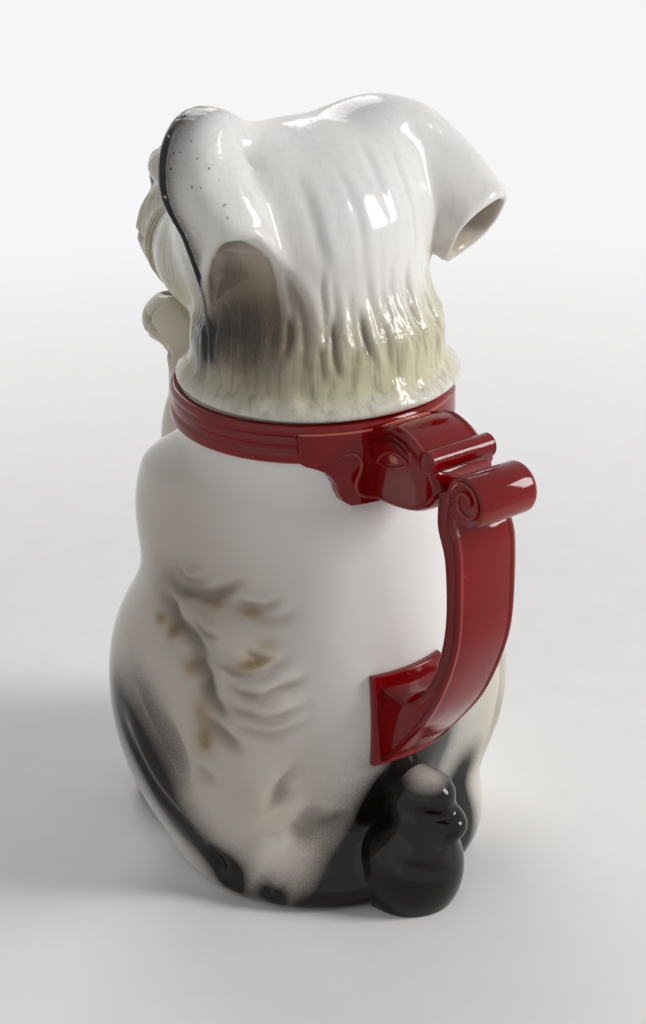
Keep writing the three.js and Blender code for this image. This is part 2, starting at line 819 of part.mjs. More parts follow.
addPiece('body_shell', bodyShell(), 'white');
addPiece('collar_band', collarBand(), 'red');
addPiece('spout_foreleg', spoutForeleg(), 'cream');
addPiece('standing_foreleg', standingForeleg(), 'cream');
addPiece('hind_paw_left', hindPaw(1), 'black');
addPiece('hind_paw_right', hindPaw(-1), 'cream');
addPiece('tail', tail(), 'black');
addPiece('handle_bracket', handleBracket(), 'red');
addPiece('handle_volute', handleVolute(), 'red');
addPiece('handle_strap', handleStrap(), 'red');
addPiece('handle_foot_plate', handleFootPlate(), 'red');
addPiece('head_shell', headShell(), 'white');
addPiece('lid_flange', lidFlange(), 'cream');
addPiece('ear_left', ear(1, leftEar), 'white');
addPiece('ear_right', ear(-1, rightEar), 'white');

export default pot;
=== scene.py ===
import math

import bmesh
import bpy
import numpy as np
from mathutils import Matrix, Vector


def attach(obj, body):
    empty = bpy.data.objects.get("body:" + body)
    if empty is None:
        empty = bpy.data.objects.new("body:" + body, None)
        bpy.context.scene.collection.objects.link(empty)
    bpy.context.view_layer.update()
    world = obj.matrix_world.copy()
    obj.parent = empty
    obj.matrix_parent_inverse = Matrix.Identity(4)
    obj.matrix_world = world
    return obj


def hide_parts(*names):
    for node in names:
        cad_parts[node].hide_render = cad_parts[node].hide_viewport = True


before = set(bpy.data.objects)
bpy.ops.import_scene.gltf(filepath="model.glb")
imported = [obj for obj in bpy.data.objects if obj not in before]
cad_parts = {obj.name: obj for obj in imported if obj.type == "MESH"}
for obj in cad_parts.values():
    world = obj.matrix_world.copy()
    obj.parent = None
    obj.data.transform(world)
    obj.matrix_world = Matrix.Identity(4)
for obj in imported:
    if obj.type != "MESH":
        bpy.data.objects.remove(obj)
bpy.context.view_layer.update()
scene = bpy.context.scene
mm = 0.001  # pieces are modelled in millimetres and brought to metres when they are finished
print("frame loaded")


# Colours are written as they look, and turned into the shader's values here
def tone(code):
    parts = [int(code[i:i + 2], 16) / 255 for i in (0, 2, 4)]
    linear = [c / 12.92 if c <= 0.04045 else ((c + 0.055) / 1.055) ** 2.4 for c in parts]
    return (*linear, 1.0)


# Clay: ellipsoid lumps that melt into each other, measured for many points at once
def lumpsOf(clay):
    scale = np.array([clay["across"], clay["across"], clay["up"]])
    rows = list(clay["lumps"])
    for at, half in clay.get("pairs", []):
        rows += [(at, half), ((-at[0], at[1], at[2]), half)]
    base = np.array([0, 0, clay.get("base", 0)])
    return [(np.array(at) * scale + base, np.array(half) * scale) for at, half in rows]


def melt(fields, softness):
    stack = np.stack(fields)
    low = stack.min(axis=0)
    return low - softness * np.log(np.exp((low - stack) / softness).sum(axis=0))


def both(fields, softness):
    return -melt([-field for field in fields], softness)


def clayField(clay):
    lumps = lumpsOf(clay)
    ats = np.array([at for at, half in lumps])
    halves = np.array([half for at, half in lumps])

    def field(points):
        part = (points[:, None, :] - ats) / halves
        reach = np.linalg.norm(part, axis=2)
        slope = np.linalg.norm(part / halves, axis=2)
        return melt(list((reach * (reach - 1) / np.maximum(slope, 1e-9)).T), clay["softness"])
    return field


def smoothStep(low, high, value):
    share = np.clip((value - low) / (high - low), 0, 1)
    return share * share * (3 - 2 * share)


def slopeOf(field, points, here, step=0.02):
    return np.stack([field(points + offset) - here for offset in np.eye(3) * step], axis=1) / step


def unit(vectors):
    return vectors / np.maximum(np.linalg.norm(vectors, axis=1, keepdims=True), 1e-9)


def towards(field, points, hold):
    here = field(points)
    slope = slopeOf(field, points, here)
    move = -slope * (here / np.maximum((slope ** 2).sum(axis=1), 0.04))[:, None]
    length = np.linalg.norm(move, axis=1, keepdims=True)
    return points + move * np.minimum(1, hold / np.maximum(length, 1e-9))


def getPoints(mesh):
    flat = np.empty(len(mesh.vertices) * 3)
    mesh.vertices.foreach_get("co", flat)
    return flat.reshape(-1, 3)


def setPoints(mesh, points):
    mesh.vertices.foreach_set("co", points.ravel())
    mesh.update()


def meshOf(bm, name="clay"):
    mesh = bpy.data.meshes.new(name)
    bm.to_mesh(mesh)
    bm.free()
    return mesh


def reopen(mesh):
    bm = bmesh.new()
    bm.from_mesh(mesh)
    return bm


def closeUp(bm, mesh):
    bmesh.ops.recalc_face_normals(bm, faces=bm.faces)
    bm.to_mesh(mesh)
    bm.free()


# A smooth line through a few points
def bend(path, steps=8):
    path = [Vector(p) for p in path]
    ends = [2 * path[0] - path[1]] + path + [2 * path[-1] - path[-2]]
    out = []
    for i in range(1, len(ends) - 2):
        a, b, c, d = ends[i - 1:i + 3]
        for k in range(steps):
            t = k / steps
            out.append(0.5 * (2 * b + (c - a) * t + (2 * a - 5 * b + 4 * c - d) * t * t
                              + (3 * b - a - 3 * c + d) * t ** 3))
    return np.array([tuple(p) for p in out + [path[-1]]])


# Lumps become one skin by a voxel remesh, and the skin is then laid on the field they stand for
def lumpShapes(clay):
    bm = bmesh.new()
    for at, half in lumpsOf(clay):
        place = Matrix.Translation(at) @ Matrix.Diagonal((*half, 1))
        bmesh.ops.create_uvsphere(bm, u_segments=40, v_segments=24, radius=1, matrix=place)
    return bm


def oneSkin(bm, voxel, cutters=()):
    helpers = []
    for cutter in [meshOf(bm), *cutters]:
        helpers.append(bpy.data.objects.new("helper", cutter))
        scene.collection.objects.link(helpers[-1])
    clay = helpers[0]
    steps = ["REMESH"] + ["BOOLEAN"] * len(cutters) + ["REMESH"] * bool(cutters)
    for i, kind in enumerate(steps):
        step = clay.modifiers.new("step", kind)
        if kind == "BOOLEAN":
            step.operation = "DIFFERENCE"
            step.object = helpers[i]
        else:
            step.mode = "VOXEL"
            step.voxel_size = voxel
    bpy.context.view_layer.update()
    skin = bpy.data.meshes.new_from_object(clay.evaluated_get(bpy.context.evaluated_depsgraph_get()))
    for helper in helpers:
        bpy.data.objects.remove(helper)
    return skin


def layOn(mesh, field, rounds=6, hold=1.5):
    for turn in range(rounds):
        setPoints(mesh, towards(field, getPoints(mesh), hold))
        if turn < rounds - 1:
            bm = bmesh.new()
            bm.from_mesh(mesh)
            bmesh.ops.smooth_vert(bm, verts=bm.verts, factor=0.5, use_axis_x=True, use_axis_y=True,
                                  use_axis_z=True)
            bm.to_mesh(mesh)
            bm.free()
    points = getPoints(mesh)
    return points, unit(slopeOf(field, points, field(points)))


# Where another lump of clay comes out of this one, both swell a little into the corner between them
def swell(points, other, softness):
    far = other(points)
    return softness * np.log1p(np.exp(-np.abs(far) / softness)) * (np.abs(far) < 6 * softness)


# Strokes: a line drawn on the clay that sinks, lifts or tints what lies near it, in shares of its width; the
# tint is painted shade along a fold, and for the broad bands the airbrushed colour
strokeShape = {"reach": 6, "ridgeAt": 2, "ridgeWidth": 1.4, "ridgeFade": 4, "shade": 0.8, "heightShare": 0.3}


def strokeReach(points, normals, path, reach):
    near = np.all((points > path.min(axis=0) - reach) & (points < path.max(axis=0) + reach), axis=1)
    rows = np.nonzero(near)[0]
    here, normal = points[rows], normals[rows]
    best = np.full(len(rows), 1e9)
    offset = np.zeros(len(rows))
    along = np.zeros(len(rows))
    lengths = np.linalg.norm(np.diff(path, axis=0), axis=1)
    for i, length in enumerate(lengths):
        line = (path[i + 1] - path[i]) / length
        share = np.clip((here - path[i]) @ line, 0, length)
        gap = here - path[i] - share[:, None] * line
        height = (gap * normal).sum(axis=1)
        flat = gap - height[:, None] * normal
        far = np.hypot(np.linalg.norm(flat, axis=1), strokeShape["heightShare"] * height)
        closer = far < best
        best = np.where(closer, far, best)
        offset = np.where(closer, (flat * np.cross(normal, line)).sum(axis=1), offset)
        along = np.where(closer, (lengths[:i].sum() + share) / lengths.sum(), along)
    return rows, best, offset, along


def taper(along, soft):
    return smoothStep(0, soft, along) * smoothStep(0, soft, 1 - along)


def crease(clay, path, width, depth, lift=0.0, shade=0.0, soft=0.35, channel=3):
    shape = strokeShape
    rows, far, offset, along = strokeReach(clay["points"], clay["normals"], path, shape["reach"] * width)
    held = taper(along, soft)
    valley = np.exp(-(far / width) ** 2)
    ridge = np.exp(-((offset - shape["ridgeAt"] * width) / (shape["ridgeWidth"] * width)) ** 2)
    ridge *= np.exp(-(far / (shape["ridgeFade"] * width)) ** 4)
    clay["relief"][rows] += held * (lift * ridge - depth * valley)
    # Paint along the valley: painted shade in the default channel, and airbrushed colour for the bands in the
    # dark channel
    clay["paint"][rows, channel] += shade * held * np.exp(-(far / (shape["shade"] * width)) ** 2)


# Spots are given as channel, place, size and amount
def tint(clay, spots):
    for channel, at, size, amount in spots:
        share = np.linalg.norm((clay["points"] - np.array(at)) / np.array(size), axis=1)
        clay["paint"][:, channel] += amount * np.exp(-share ** 2)


# The brush's channels: airbrushed black, stain, olive cream, and painted shade in folds and hollows
dark, warm, olive, paintedShade = range(4)
cornerSwell = 1.5  # how softly a limb and the body run into each other


def startClay(mesh, field):
    points, normals = layOn(mesh, field)
    count = len(points)
    return {"mesh": mesh, "points": points, "normals": normals, "relief": np.zeros(count),
            "paint": np.zeros((count, 4))}


def drawFolds(clay, field, folds):
    for width, depth, lift, shade, path in folds:
        line = bend(path)
        for turn in range(4):
            line = towards(field, line, 3)
        crease(clay, line, width, depth, lift, shade)


def closeClay(clay):
    mesh = clay["mesh"]
    setPoints(mesh, clay["points"] + clay["normals"] * clay["relief"][:, None])
    coat = mesh.color_attributes.new("glaze", "FLOAT_COLOR", "POINT")
    coat.data.foreach_set("color", np.clip(clay["paint"], 0, 2).astype(np.float32).ravel())
    return mesh


def cutFlat(bm, height, keepAbove):
    everything = bm.verts[:] + bm.edges[:] + bm.faces[:]
    cut = bmesh.ops.bisect_plane(bm, geom=everything, dist=1e-5, plane_co=(0, 0, height), plane_no=(0, 0, 1),
                                 clear_inner=keepAbove, clear_outer=not keepAbove)
    return [edge for edge in cut["geom_cut"] if isinstance(edge, bmesh.types.BMEdge)]


# Rings drawn out of an open edge, each at its own radius and height, the last one filled
def drawRings(bm, edges, rings):
    for radius, height in rings:
        drawn = bmesh.ops.extrude_edge_only(bm, edges=edges)["geom"]
        for vert in [v for v in drawn if isinstance(v, bmesh.types.BMVert)]:
            turn = math.atan2(vert.co.y, vert.co.x)
            vert.co = (radius * math.cos(turn), radius * math.sin(turn), height)
        edges = [edge for edge in drawn if isinstance(edge, bmesh.types.BMEdge)]
    bmesh.ops.edgeloop_fill(bm, edges=edges)


def spinProfile(bm, profile, centre=(0, 0), steps=128):
    verts = [bm.verts.new((centre[0] + radius, centre[1], height)) for radius, height in profile]
    edges = [bm.edges.new(pair) for pair in zip(verts, verts[1:] + verts[:1])]
    bmesh.ops.spin(bm, geom=verts + edges, cent=(*centre, 0), axis=(0, 0, 1), angle=2 * math.pi, steps=steps,
                   use_merge=True)
    bmesh.ops.remove_doubles(bm, verts=bm.verts, dist=1e-4)
    bmesh.ops.recalc_face_normals(bm, faces=bm.faces)


def roundCorners(profile, radius, steps=4):
    out = []
    count = len(profile)
    for i in range(count):
        here = np.array(profile[i], float)
        before = np.array(profile[i - 1]) - here
        after = np.array(profile[(i + 1) % count]) - here
        reach = min(radius, 0.45 * np.linalg.norm(before), 0.45 * np.linalg.norm(after))
        start = here + before / np.linalg.norm(before) * reach
        end = here + after / np.linalg.norm(after) * reach
        for k in range(steps + 1):
            t = k / steps
            out.append(tuple((1 - t) ** 2 * start + 2 * t * (1 - t) * here + t * t * end))
    return out


def addTube(bm, path, radius, thinEnds=False, glaze=None):
    curve = bpy.data.curves.new("line", "CURVE")
    curve.dimensions = "3D"
    curve.bevel_depth = radius
    curve.bevel_resolution = 3
    curve.use_fill_caps = True
    spline = curve.splines.new("POLY")
    spline.points.add(len(path) - 1)
    for i, place in enumerate(path):
        spline.points[i].co = (*place, 1)
        share = i / (len(path) - 1)
        spline.points[i].radius = max(0.15, min(1, 8 * share, 8 - 8 * share)) if thinEnds else 1
    line = bpy.data.objects.new("line", curve)
    scene.collection.objects.link(line)
    bpy.context.view_layer.update()
    mesh = bpy.data.meshes.new_from_object(line.evaluated_get(bpy.context.evaluated_depsgraph_get()))
    bpy.data.objects.remove(line)
    before = len(bm.verts)
    bm.from_mesh(mesh)
    bm.verts.ensure_lookup_table()
    if glaze:
        brush(bm, bm.verts[before:], glaze)


# Paint on the points of a piece that isn't clay: deep red, and pale red, which is also a painted highlight on
# the bracket's top
def brush(bm, verts, glaze):
    coat = bm.verts.layers.float_color.get("glaze") or bm.verts.layers.float_color.new("glaze")
    for vert in verts:
        vert[coat] = glaze


def finishPiece(name, mesh, body, material, replaced):
    mesh.transform(Matrix.Scale(mm, 4))
    mesh.name = name
    mesh.materials.clear()
    mesh.materials.append(material)
    mesh.polygons.foreach_set("use_smooth", [True] * len(mesh.polygons))
    piece = bpy.data.objects.new(name, mesh)
    scene.collection.objects.link(piece)
    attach(piece, body)
    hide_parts(*replaced)
    print(name, len(mesh.polygons), "faces")


# Camera at the photograph's viewing angle
camera = {
    "place": (262.493, 375.820, 328.082),
    "right": (-0.81418693, 0.58033483, -0.01763891),
    "up": (-0.26218081, -0.34038339, 0.90299522),
    "lens": 59.766, "sensor": 36, "near": 0.01,
}


def addCamera():
    lens = bpy.data.cameras.new("camera")
    lens.lens = camera["lens"]
    lens.sensor_width = camera["sensor"]
    lens.clip_start = camera["near"]
    right, up = Vector(camera["right"]), Vector(camera["up"])
    turn = Matrix((right, up, right.cross(up))).transposed()
    eye = bpy.data.objects.new("camera", lens)
    eye.matrix_world = Matrix.Translation(Vector(camera["place"]) * mm) @ turn.to_4x4()
    scene.collection.objects.link(eye)
    scene.camera = eye


# Glazes
glazes = {
    "white": "e8e5e0",
    "cool": "dadbdf",
    "cream": "d8cfb9",
    "olive": "c4be94",
    "stain": "ad9b83",
    "mustard": "8f7b52",
    # brown of the painted shade in folds, hair grooves and hollows
    "paintedShading": "6b5d4e",
    "brown": "5c4636",
    "black": "0f0b0a",
    "red": "8c0407",
    # pale red for ridges, edges and pinholes, and a painted highlight on the bracket's top
    "redDeep": "420305",
    "paleRedAndHighlight": "bd6a58",
    "pit": "3a3029",
}
# Clouds, pinholes and shine of the clay's glaze and of the red one
glazeLooks = {
    "clay": {"cloud": 45, "pits": 62, "pitSize": 0.017, "pitShare": 0.4, "pitTone": "pit", "roughness": 0.11,
             "waves": 0.12},
    "red": {"cloud": 70, "pits": 120, "pitSize": 0.03, "pitShare": 0.5, "pitTone": "paleRedAndHighlight",
            "roughness": 0.07, "waves": 0.1},
    "grain": 2400, "mist": 700, "speck": 2.6, "ripeFrom": 1.2, "specular": 0.36, "ior": 1.42,
    "ripple": 160, "skin": 900, "skinShare": 0.06, "hairDepth": 2.5, "bumpDepth": 0.0006,
    "strands": 430, "strandLength": 0.07,
}


def newMaterial(name):
    material = bpy.data.materials.new(name)
    material.use_nodes = True
    tree = material.node_tree
    return material, tree, tree.nodes["Principled BSDF"]


def addNode(tree, kind, **settings):
    node = tree.nodes.new(kind)
    for key, value in settings.items():
        setattr(node, key, value)
    return node


def sums(tree, operation, first, second, clamp=False):
    node = addNode(tree, "ShaderNodeMath", operation=operation, use_clamp=clamp)
    for socket, value in zip(node.inputs, (first, second)):
        if isinstance(value, (int, float)):
            socket.default_value = value
        else:
            tree.links.new(value, socket)
    return node.outputs[0]


def layer(tree, share, under, over):
    node = addNode(tree, "ShaderNodeMix", data_type="RGBA")
    tree.links.new(share, node.inputs[0])
    for socket, colour in ((node.inputs[6], under), (node.inputs[7], over)):
        if isinstance(colour, tuple):
            socket.default_value = colour
        else:
            tree.links.new(colour, socket)
    return node.outputs[2]


def noise(tree, place, scale, detail=2.0, roughness=0.5):
    node = addNode(tree, "ShaderNodeTexNoise")
    node.inputs["Scale"].default_value = scale
    node.inputs["Detail"].default_value = detail
    node.inputs["Roughness"].default_value = roughness
    tree.links.new(place, node.inputs["Vector"])
    return node.outputs["Fac"]


# One glaze over another, as strongly as a share says
def coated(tree, share, strength, under, glaze):
    return layer(tree, sums(tree, "MULTIPLY", share, strength, True), under, tone(glazes[glaze]))


def glazeBump(tree, place, shader, waves, hair=None):
    look = glazeLooks
    ripple = noise(tree, place, look["ripple"], 1.0)
    skin = noise(tree, place, look["skin"], 2.0)
    height = sums(tree, "ADD", ripple, sums(tree, "MULTIPLY", skin, look["skinShare"]))
    if hair:
        height = sums(tree, "SUBTRACT", height, sums(tree, "MULTIPLY", hair, look["hairDepth"]))
    bump = addNode(tree, "ShaderNodeBump")
    bump.inputs["Strength"].default_value = waves
    bump.inputs["Distance"].default_value = look["bumpDepth"]
    tree.links.new(height, bump.inputs["Height"])
    tree.links.new(bump.outputs["Normal"], shader.inputs["Normal"])


# Fine strands that run down the coat, strongest where the olive glaze lies
def strandsOf(tree, place, oliveShare, least):
    drawn = addNode(tree, "ShaderNodeMapping")
    drawn.inputs["Scale"].default_value = (1, 1, glazeLooks["strandLength"])
    tree.links.new(place, drawn.inputs["Vector"])
    strands = sums(tree, "SUBTRACT", noise(tree, drawn.outputs[0], glazeLooks["strands"], 2.0, 0.6), 0.5)
    held = sums(tree, "ADD", oliveShare, least, True)
    return sums(tree, "MULTIPLY", sums(tree, "MULTIPLY", strands, 4.0, True), held)


def startGlaze(name, look):
    material, tree, shader = newMaterial(name)
    place = addNode(tree, "ShaderNodeTexCoord").outputs["Object"]
    paint = addNode(tree, "ShaderNodeAttribute", attribute_name="glaze")
    channels = addNode(tree, "ShaderNodeSeparateColor")
    tree.links.new(paint.outputs["Color"], channels.inputs[0])
    cloud = noise(tree, place, look["cloud"], 3.0)
    return material, tree, shader, place, cloud, channels.outputs, paint.outputs["Alpha"]


# Pinholes, shine and a slight waviness close every glaze
def endGlaze(tree, place, shader, look, colour, hair=None):
    pits = addNode(tree, "ShaderNodeTexVoronoi")
    pits.inputs["Scale"].default_value = look["pits"]
    tree.links.new(place, pits.inputs["Vector"])
    pit = sums(tree, "LESS_THAN", pits.outputs["Distance"], look["pitSize"])
    colour = coated(tree, pit, look["pitShare"], colour, look["pitTone"])
    tree.links.new(colour, shader.inputs["Base Color"])
    shader.inputs["Specular IOR Level"].default_value = glazeLooks["specular"]
    shader.inputs["Roughness"].default_value = look["roughness"]
    shader.inputs["IOR"].default_value = glazeLooks["ior"]
    glazeBump(tree, place, shader, look["waves"], hair)


# Airbrushed clay: the brush's channels over a white or cream ground, broken into fine spray where it thins
def clayGlaze(name, ground, coat=None):
    look = glazeLooks["clay"]
    material, tree, shader, place, cloud, channels, paintedShading = startGlaze(name, look)
    blackShare, stainShare, oliveShare = channels[0:3]
    grain = noise(tree, place, glazeLooks["grain"], 2.0, 0.7)
    mist = noise(tree, place, glazeLooks["mist"], 3.0, 0.7)
    colour = coated(tree, cloud, 0.6, tone(glazes[ground]), "cool")
    colour = coated(tree, oliveShare, 0.95, colour, "olive")
    colour = coated(tree, stainShare, 0.8, colour, "stain")
    ripe = sums(tree, "SUBTRACT", stainShare, glazeLooks["ripeFrom"])
    ripe = sums(tree, "MULTIPLY", ripe, sums(tree, "MULTIPLY", mist, 5.0), True)
    colour = layer(tree, ripe, colour, tone(glazes["mustard"]))
    hair = None
    if coat is not None:
        hair = strandsOf(tree, place, oliveShare, coat)
        # The hair strands are darkened with the painted shading, as shade in their fine grooves
        colour = coated(tree, hair, 0.55, colour, "paintedShading")
    # Painted shade from the fourth channel: folds, creases and the hollows under the ears and brows
    colour = coated(tree, paintedShading, 0.8, colour, "paintedShading")
    edge = sums(tree, "MULTIPLY", blackShare, sums(tree, "SUBTRACT", 1.0, blackShare))
    speck = sums(tree, "MULTIPLY", sums(tree, "SUBTRACT", grain, 0.5), glazeLooks["speck"])
    sprayed = sums(tree, "ADD", blackShare, sums(tree, "MULTIPLY", edge, speck), True)
    brown = layer(tree, sprayed, tone(glazes["brown"]), tone(glazes["black"]))
    endGlaze(tree, place, shader, look, layer(tree, sprayed, colour, brown), hair)
    return material


def redGlaze(name):
    look = glazeLooks["red"]
    material, tree, shader, place, cloud, channels = startGlaze(name, look)[:6]
    colour = coated(tree, cloud, 0.55, tone(glazes["red"]), "redDeep")
    colour = layer(tree, channels[0], colour, tone(glazes["redDeep"]))
    colour = layer(tree, channels[1], colour, tone(glazes["paleRedAndHighlight"]))
    endGlaze(tree, place, shader, look, colour)
    return material


addCamera()
whiteGlaze = clayGlaze("whiteGlaze", "white")
creamGlaze = clayGlaze("creamGlaze", "cream")
blackGlaze = clayGlaze("blackGlaze", "white")
coatGlaze = clayGlaze("coatGlaze", "white", 0.15)
redMaterial = redGlaze("redGlaze")
print("camera and glazes ready")

# The pot's body
potClay = {
    "across": 42, "up": 155, "softness": 4,
    "lumps": [
        ((0, 0.03, 0.4), (1.0, 0.98, 0.5)),
        ((0, -0.08, 0.73), (0.95, 0.95, 0.33)),
        ((0, -0.55, 0.6), (0.66, 0.5, 0.3)),
        ((0, 0.03, 0.035), (1.19, 1.14, 0.12)),
        ((-0.74, 0.28, 0.22), (0.44, 0.44, 0.2)),
    ],
    "pairs": [
        ((0.96, -0.21, 0.335), (0.525, 0.96, 0.31)),
        ((0.74, -0.48, 0.72), (0.4, 0.5, 0.19)),
    ],
}
potShape = {
    "voxel": 0.84, "rim": 155.0, "neckRadius": 38.2, "neckShift": (1.4, -1.1), "neckBottom": 127.5,
    "neckTop": 143.5, "mouthRadius": 33.5, "footRound": 2.5, "floor": 5.0,
    "plugAt": 144, "plugRadius": 38, "plugDepth": 44, "limbTop": 135, "reliefFrom": (1, 6),
    "reliefTo": (140, 130), "bandSoft": 0.4, "rimCut": 0.8,
}
# Folds of the left flank, which fan out from the notch of the waist, as width, depth, lift, shade and points
flankFolds = [
    (2.3, 2.7, 0.9, 1.0, [(51, -13, 97), (51, -4, 94), (52, 1, 91), (51, 7, 89), (51, 11, 87), (50, 15, 85),
                          (48, 18, 83)]),
    (1.5, 1.7, 1.2, 0.4, [(50, 14, 86), (48, 18, 83), (47, 21, 82), (44, 23, 80), (41, 24, 79), (38, 26, 80),
                          (34, 27, 82), (30, 29, 85)]),
    (1.0, 0.9, 0.6, 0.5, [(43, 20, 87), (40, 22, 85), (38, 24, 84), (34, 26, 84)]),
    (2.4, 2.7, 0.9, 1.0, [(52, 8, 87), (52, 11, 84), (52, 16, 80), (52, 17, 78), (50, 21, 76)]),
    (1.6, 1.9, 1.4, 0.55, [(51, 19, 80), (49, 21, 79), (46, 23, 76), (44, 26, 75), (41, 28, 74), (36, 29, 75),
                           (31, 30, 76), (26, 32, 79)]),
    (2.4, 2.5, 0.9, 0.95, [(54, 14, 79), (53, 17, 76), (52, 21, 72), (49, 25, 68)]),
    (1.6, 1.8, 1.4, 0.45, [(51, 19, 77), (50, 21, 75), (47, 25, 71), (45, 27, 70), (42, 29, 68), (37, 30, 67),
                           (31, 31, 68), (26, 33, 71)]),
    (1.7, 1.5, 1.2, 0.35, [(51, 22, 71), (50, 24, 69), (47, 27, 66), (43, 30, 64), (37, 31, 62), (31, 32, 63),
                           (26, 34, 66)]),
    (2.6, 2.3, 0.9, 0.8, [(55, 17, 71), (54, 20, 67), (52, 23, 64), (50, 26, 61), (48, 28, 57)]),
    (1.1, 1.3, 0.9, 0.55, [(49, 5, 94), (49, 9, 91), (48, 12, 90), (46, 15, 89)]),
    (2.0, 2.1, 1.1, 0.85, [(49, -12, 102), (48, -5, 99), (47, -2, 98), (46, 2, 99), (44, 6, 99), (41, 9, 100),
                           (39, 13, 103), (36, 17, 107)]),
    (1.4, 1.2, 0.9, 0.35, [(48, -8, 105), (47, -5, 103), (46, -2, 101), (44, 3, 102), (42, 7, 105)]),
    (1.5, 1.5, 1.1, 0.5, [(42, 11, 99), (40, 14, 98), (38, 17, 98), (36, 19, 98), (33, 22, 99), (29, 25, 103)]),
    (2.0, 1.2, 0.9, 0.3, [(39, 17, 94), (37, 19, 94), (34, 22, 94), (31, 25, 95), (27, 29, 99)]),
    (3.0, 1.5, 0.9, 0.35, [(39, 29, 34), (38, 31, 44), (34, 31, 47), (29, 32, 48)]),
    (3.0, 1.3, 0.8, 0.25, [(33, 26, 18), (28, 28, 27), (24, 31, 34)]),
    (3.0, 1.3, 0.8, 0.25, [(27, 31, 12), (22, 32, 23), (17, 34, 31)]),
    (2.2, 1.1, 0.6, 0.4, [(57, 17, 54), (54, 22, 46)]),
    (3.0, 1.4, 0.9, 0.2, [(60, -13, 71), (62, -9, 63), (62, -1, 55), (60, 6, 46), (58, 11, 38)]),
    (2.6, 1.5, 1.0, 0.2, [(60, 2, 68), (60, 7, 62), (59, 11, 55), (59, 12, 48), (59, 9, 40)]),
    (3.0, 1.2, 0.8, 0.1, [(61, -21, 57), (62, -13, 47), (61, -3, 36), (56, 8, 26), (50, 13, 13)]),
    (2.4, 1.5, 0.9, 0.4, [(53, 11, 20), (48, 15, 6)]),
    (2.0, 1.2, 0.7, 0.4, [(43, 23, 9), (40, 29, 4)]),
]
# Broad airbrushed bands on the haunches and round the tail, as width, strength and points
potBands = [
    (14, 1.25, [(63, -44, 76), (63, -34, 68), (63, -22, 60), (62.5, -9, 49), (60.5, -1, 38), (57, 5, 27),
                (52, 11, 15), (47, 17, 3), (40, 24, -12)]),
    (8, 0.65, [(60, -22, 76), (61, -9, 70), (61, -1, 65), (60, 5, 58), (59, 9, 50), (58, 9, 41), (57, 7, 33)]),
    (7, 0.6, [(53, 11, 22), (48, 16, 10), (45, 20, 3)]),
    (6, 0.6, [(43, 23, 10), (40, 28, 6), (36, 33, 4)]),
    (5, 0.35, [(38, 29, 34), (37, 30, 42), (33, 31, 46)]),
    (5, 0.4, [(31, 28, 16), (25, 30, 25), (19, 33, 32)]),
    (8, 0.8, [(-16, 42, 8), (-25, 38, 14), (-32, 33, 24), (-35, 31, 38)]),
    (3.6, 0.4, [(-40, 28, 12), (-44, 26, 30), (-45, 25, 50)]),
    (3, 0.3, [(-47, 21, 14), (-50, 20, 34), (-50, 19, 56)]),
]
# Folds down the right haunch and the chest
farFolds = [
    (2.4, 1.0, 0.6, 0.35, [(-45, 14, 92), (-52, 14, 74), (-55, 14, 55), (-54, 16, 36), (-46, 22, 18)]),
    (2.2, 0.9, 0.5, 0.3, [(-40, 22, 78), (-44, 25, 60), (-44, 27, 42), (-38, 31, 24)]),
    (1.8, 0.8, 0.5, 0.25, [(-57, 4, 78), (-61, 2, 60), (-60, 4, 42)]),
    (2.6, 1.4, 0.6, 0.5, [(-50, -9, 97), (-52, 1, 92), (-51, 10, 86), (-49, 18, 78)]),
    (1.6, 0.9, 0.6, 0.3, [(-30, -46, 112), (-33, -44, 100), (-36, -42, 88)]),
    (1.8, 1.0, 0.6, 0.3, [(-8, -50, 132), (-10, -51, 112), (-8, -50, 92), (-6, -46, 70)]),
    (1.8, 1.0, 0.6, 0.3, [(4, -50, 130), (3, -51, 110), (5, -50, 90), (4, -46, 66)]),
    (1.8, 0.8, 0.5, 0.25, [(14, -48, 104), (15, -48, 88), (12, -45, 70)]),
]
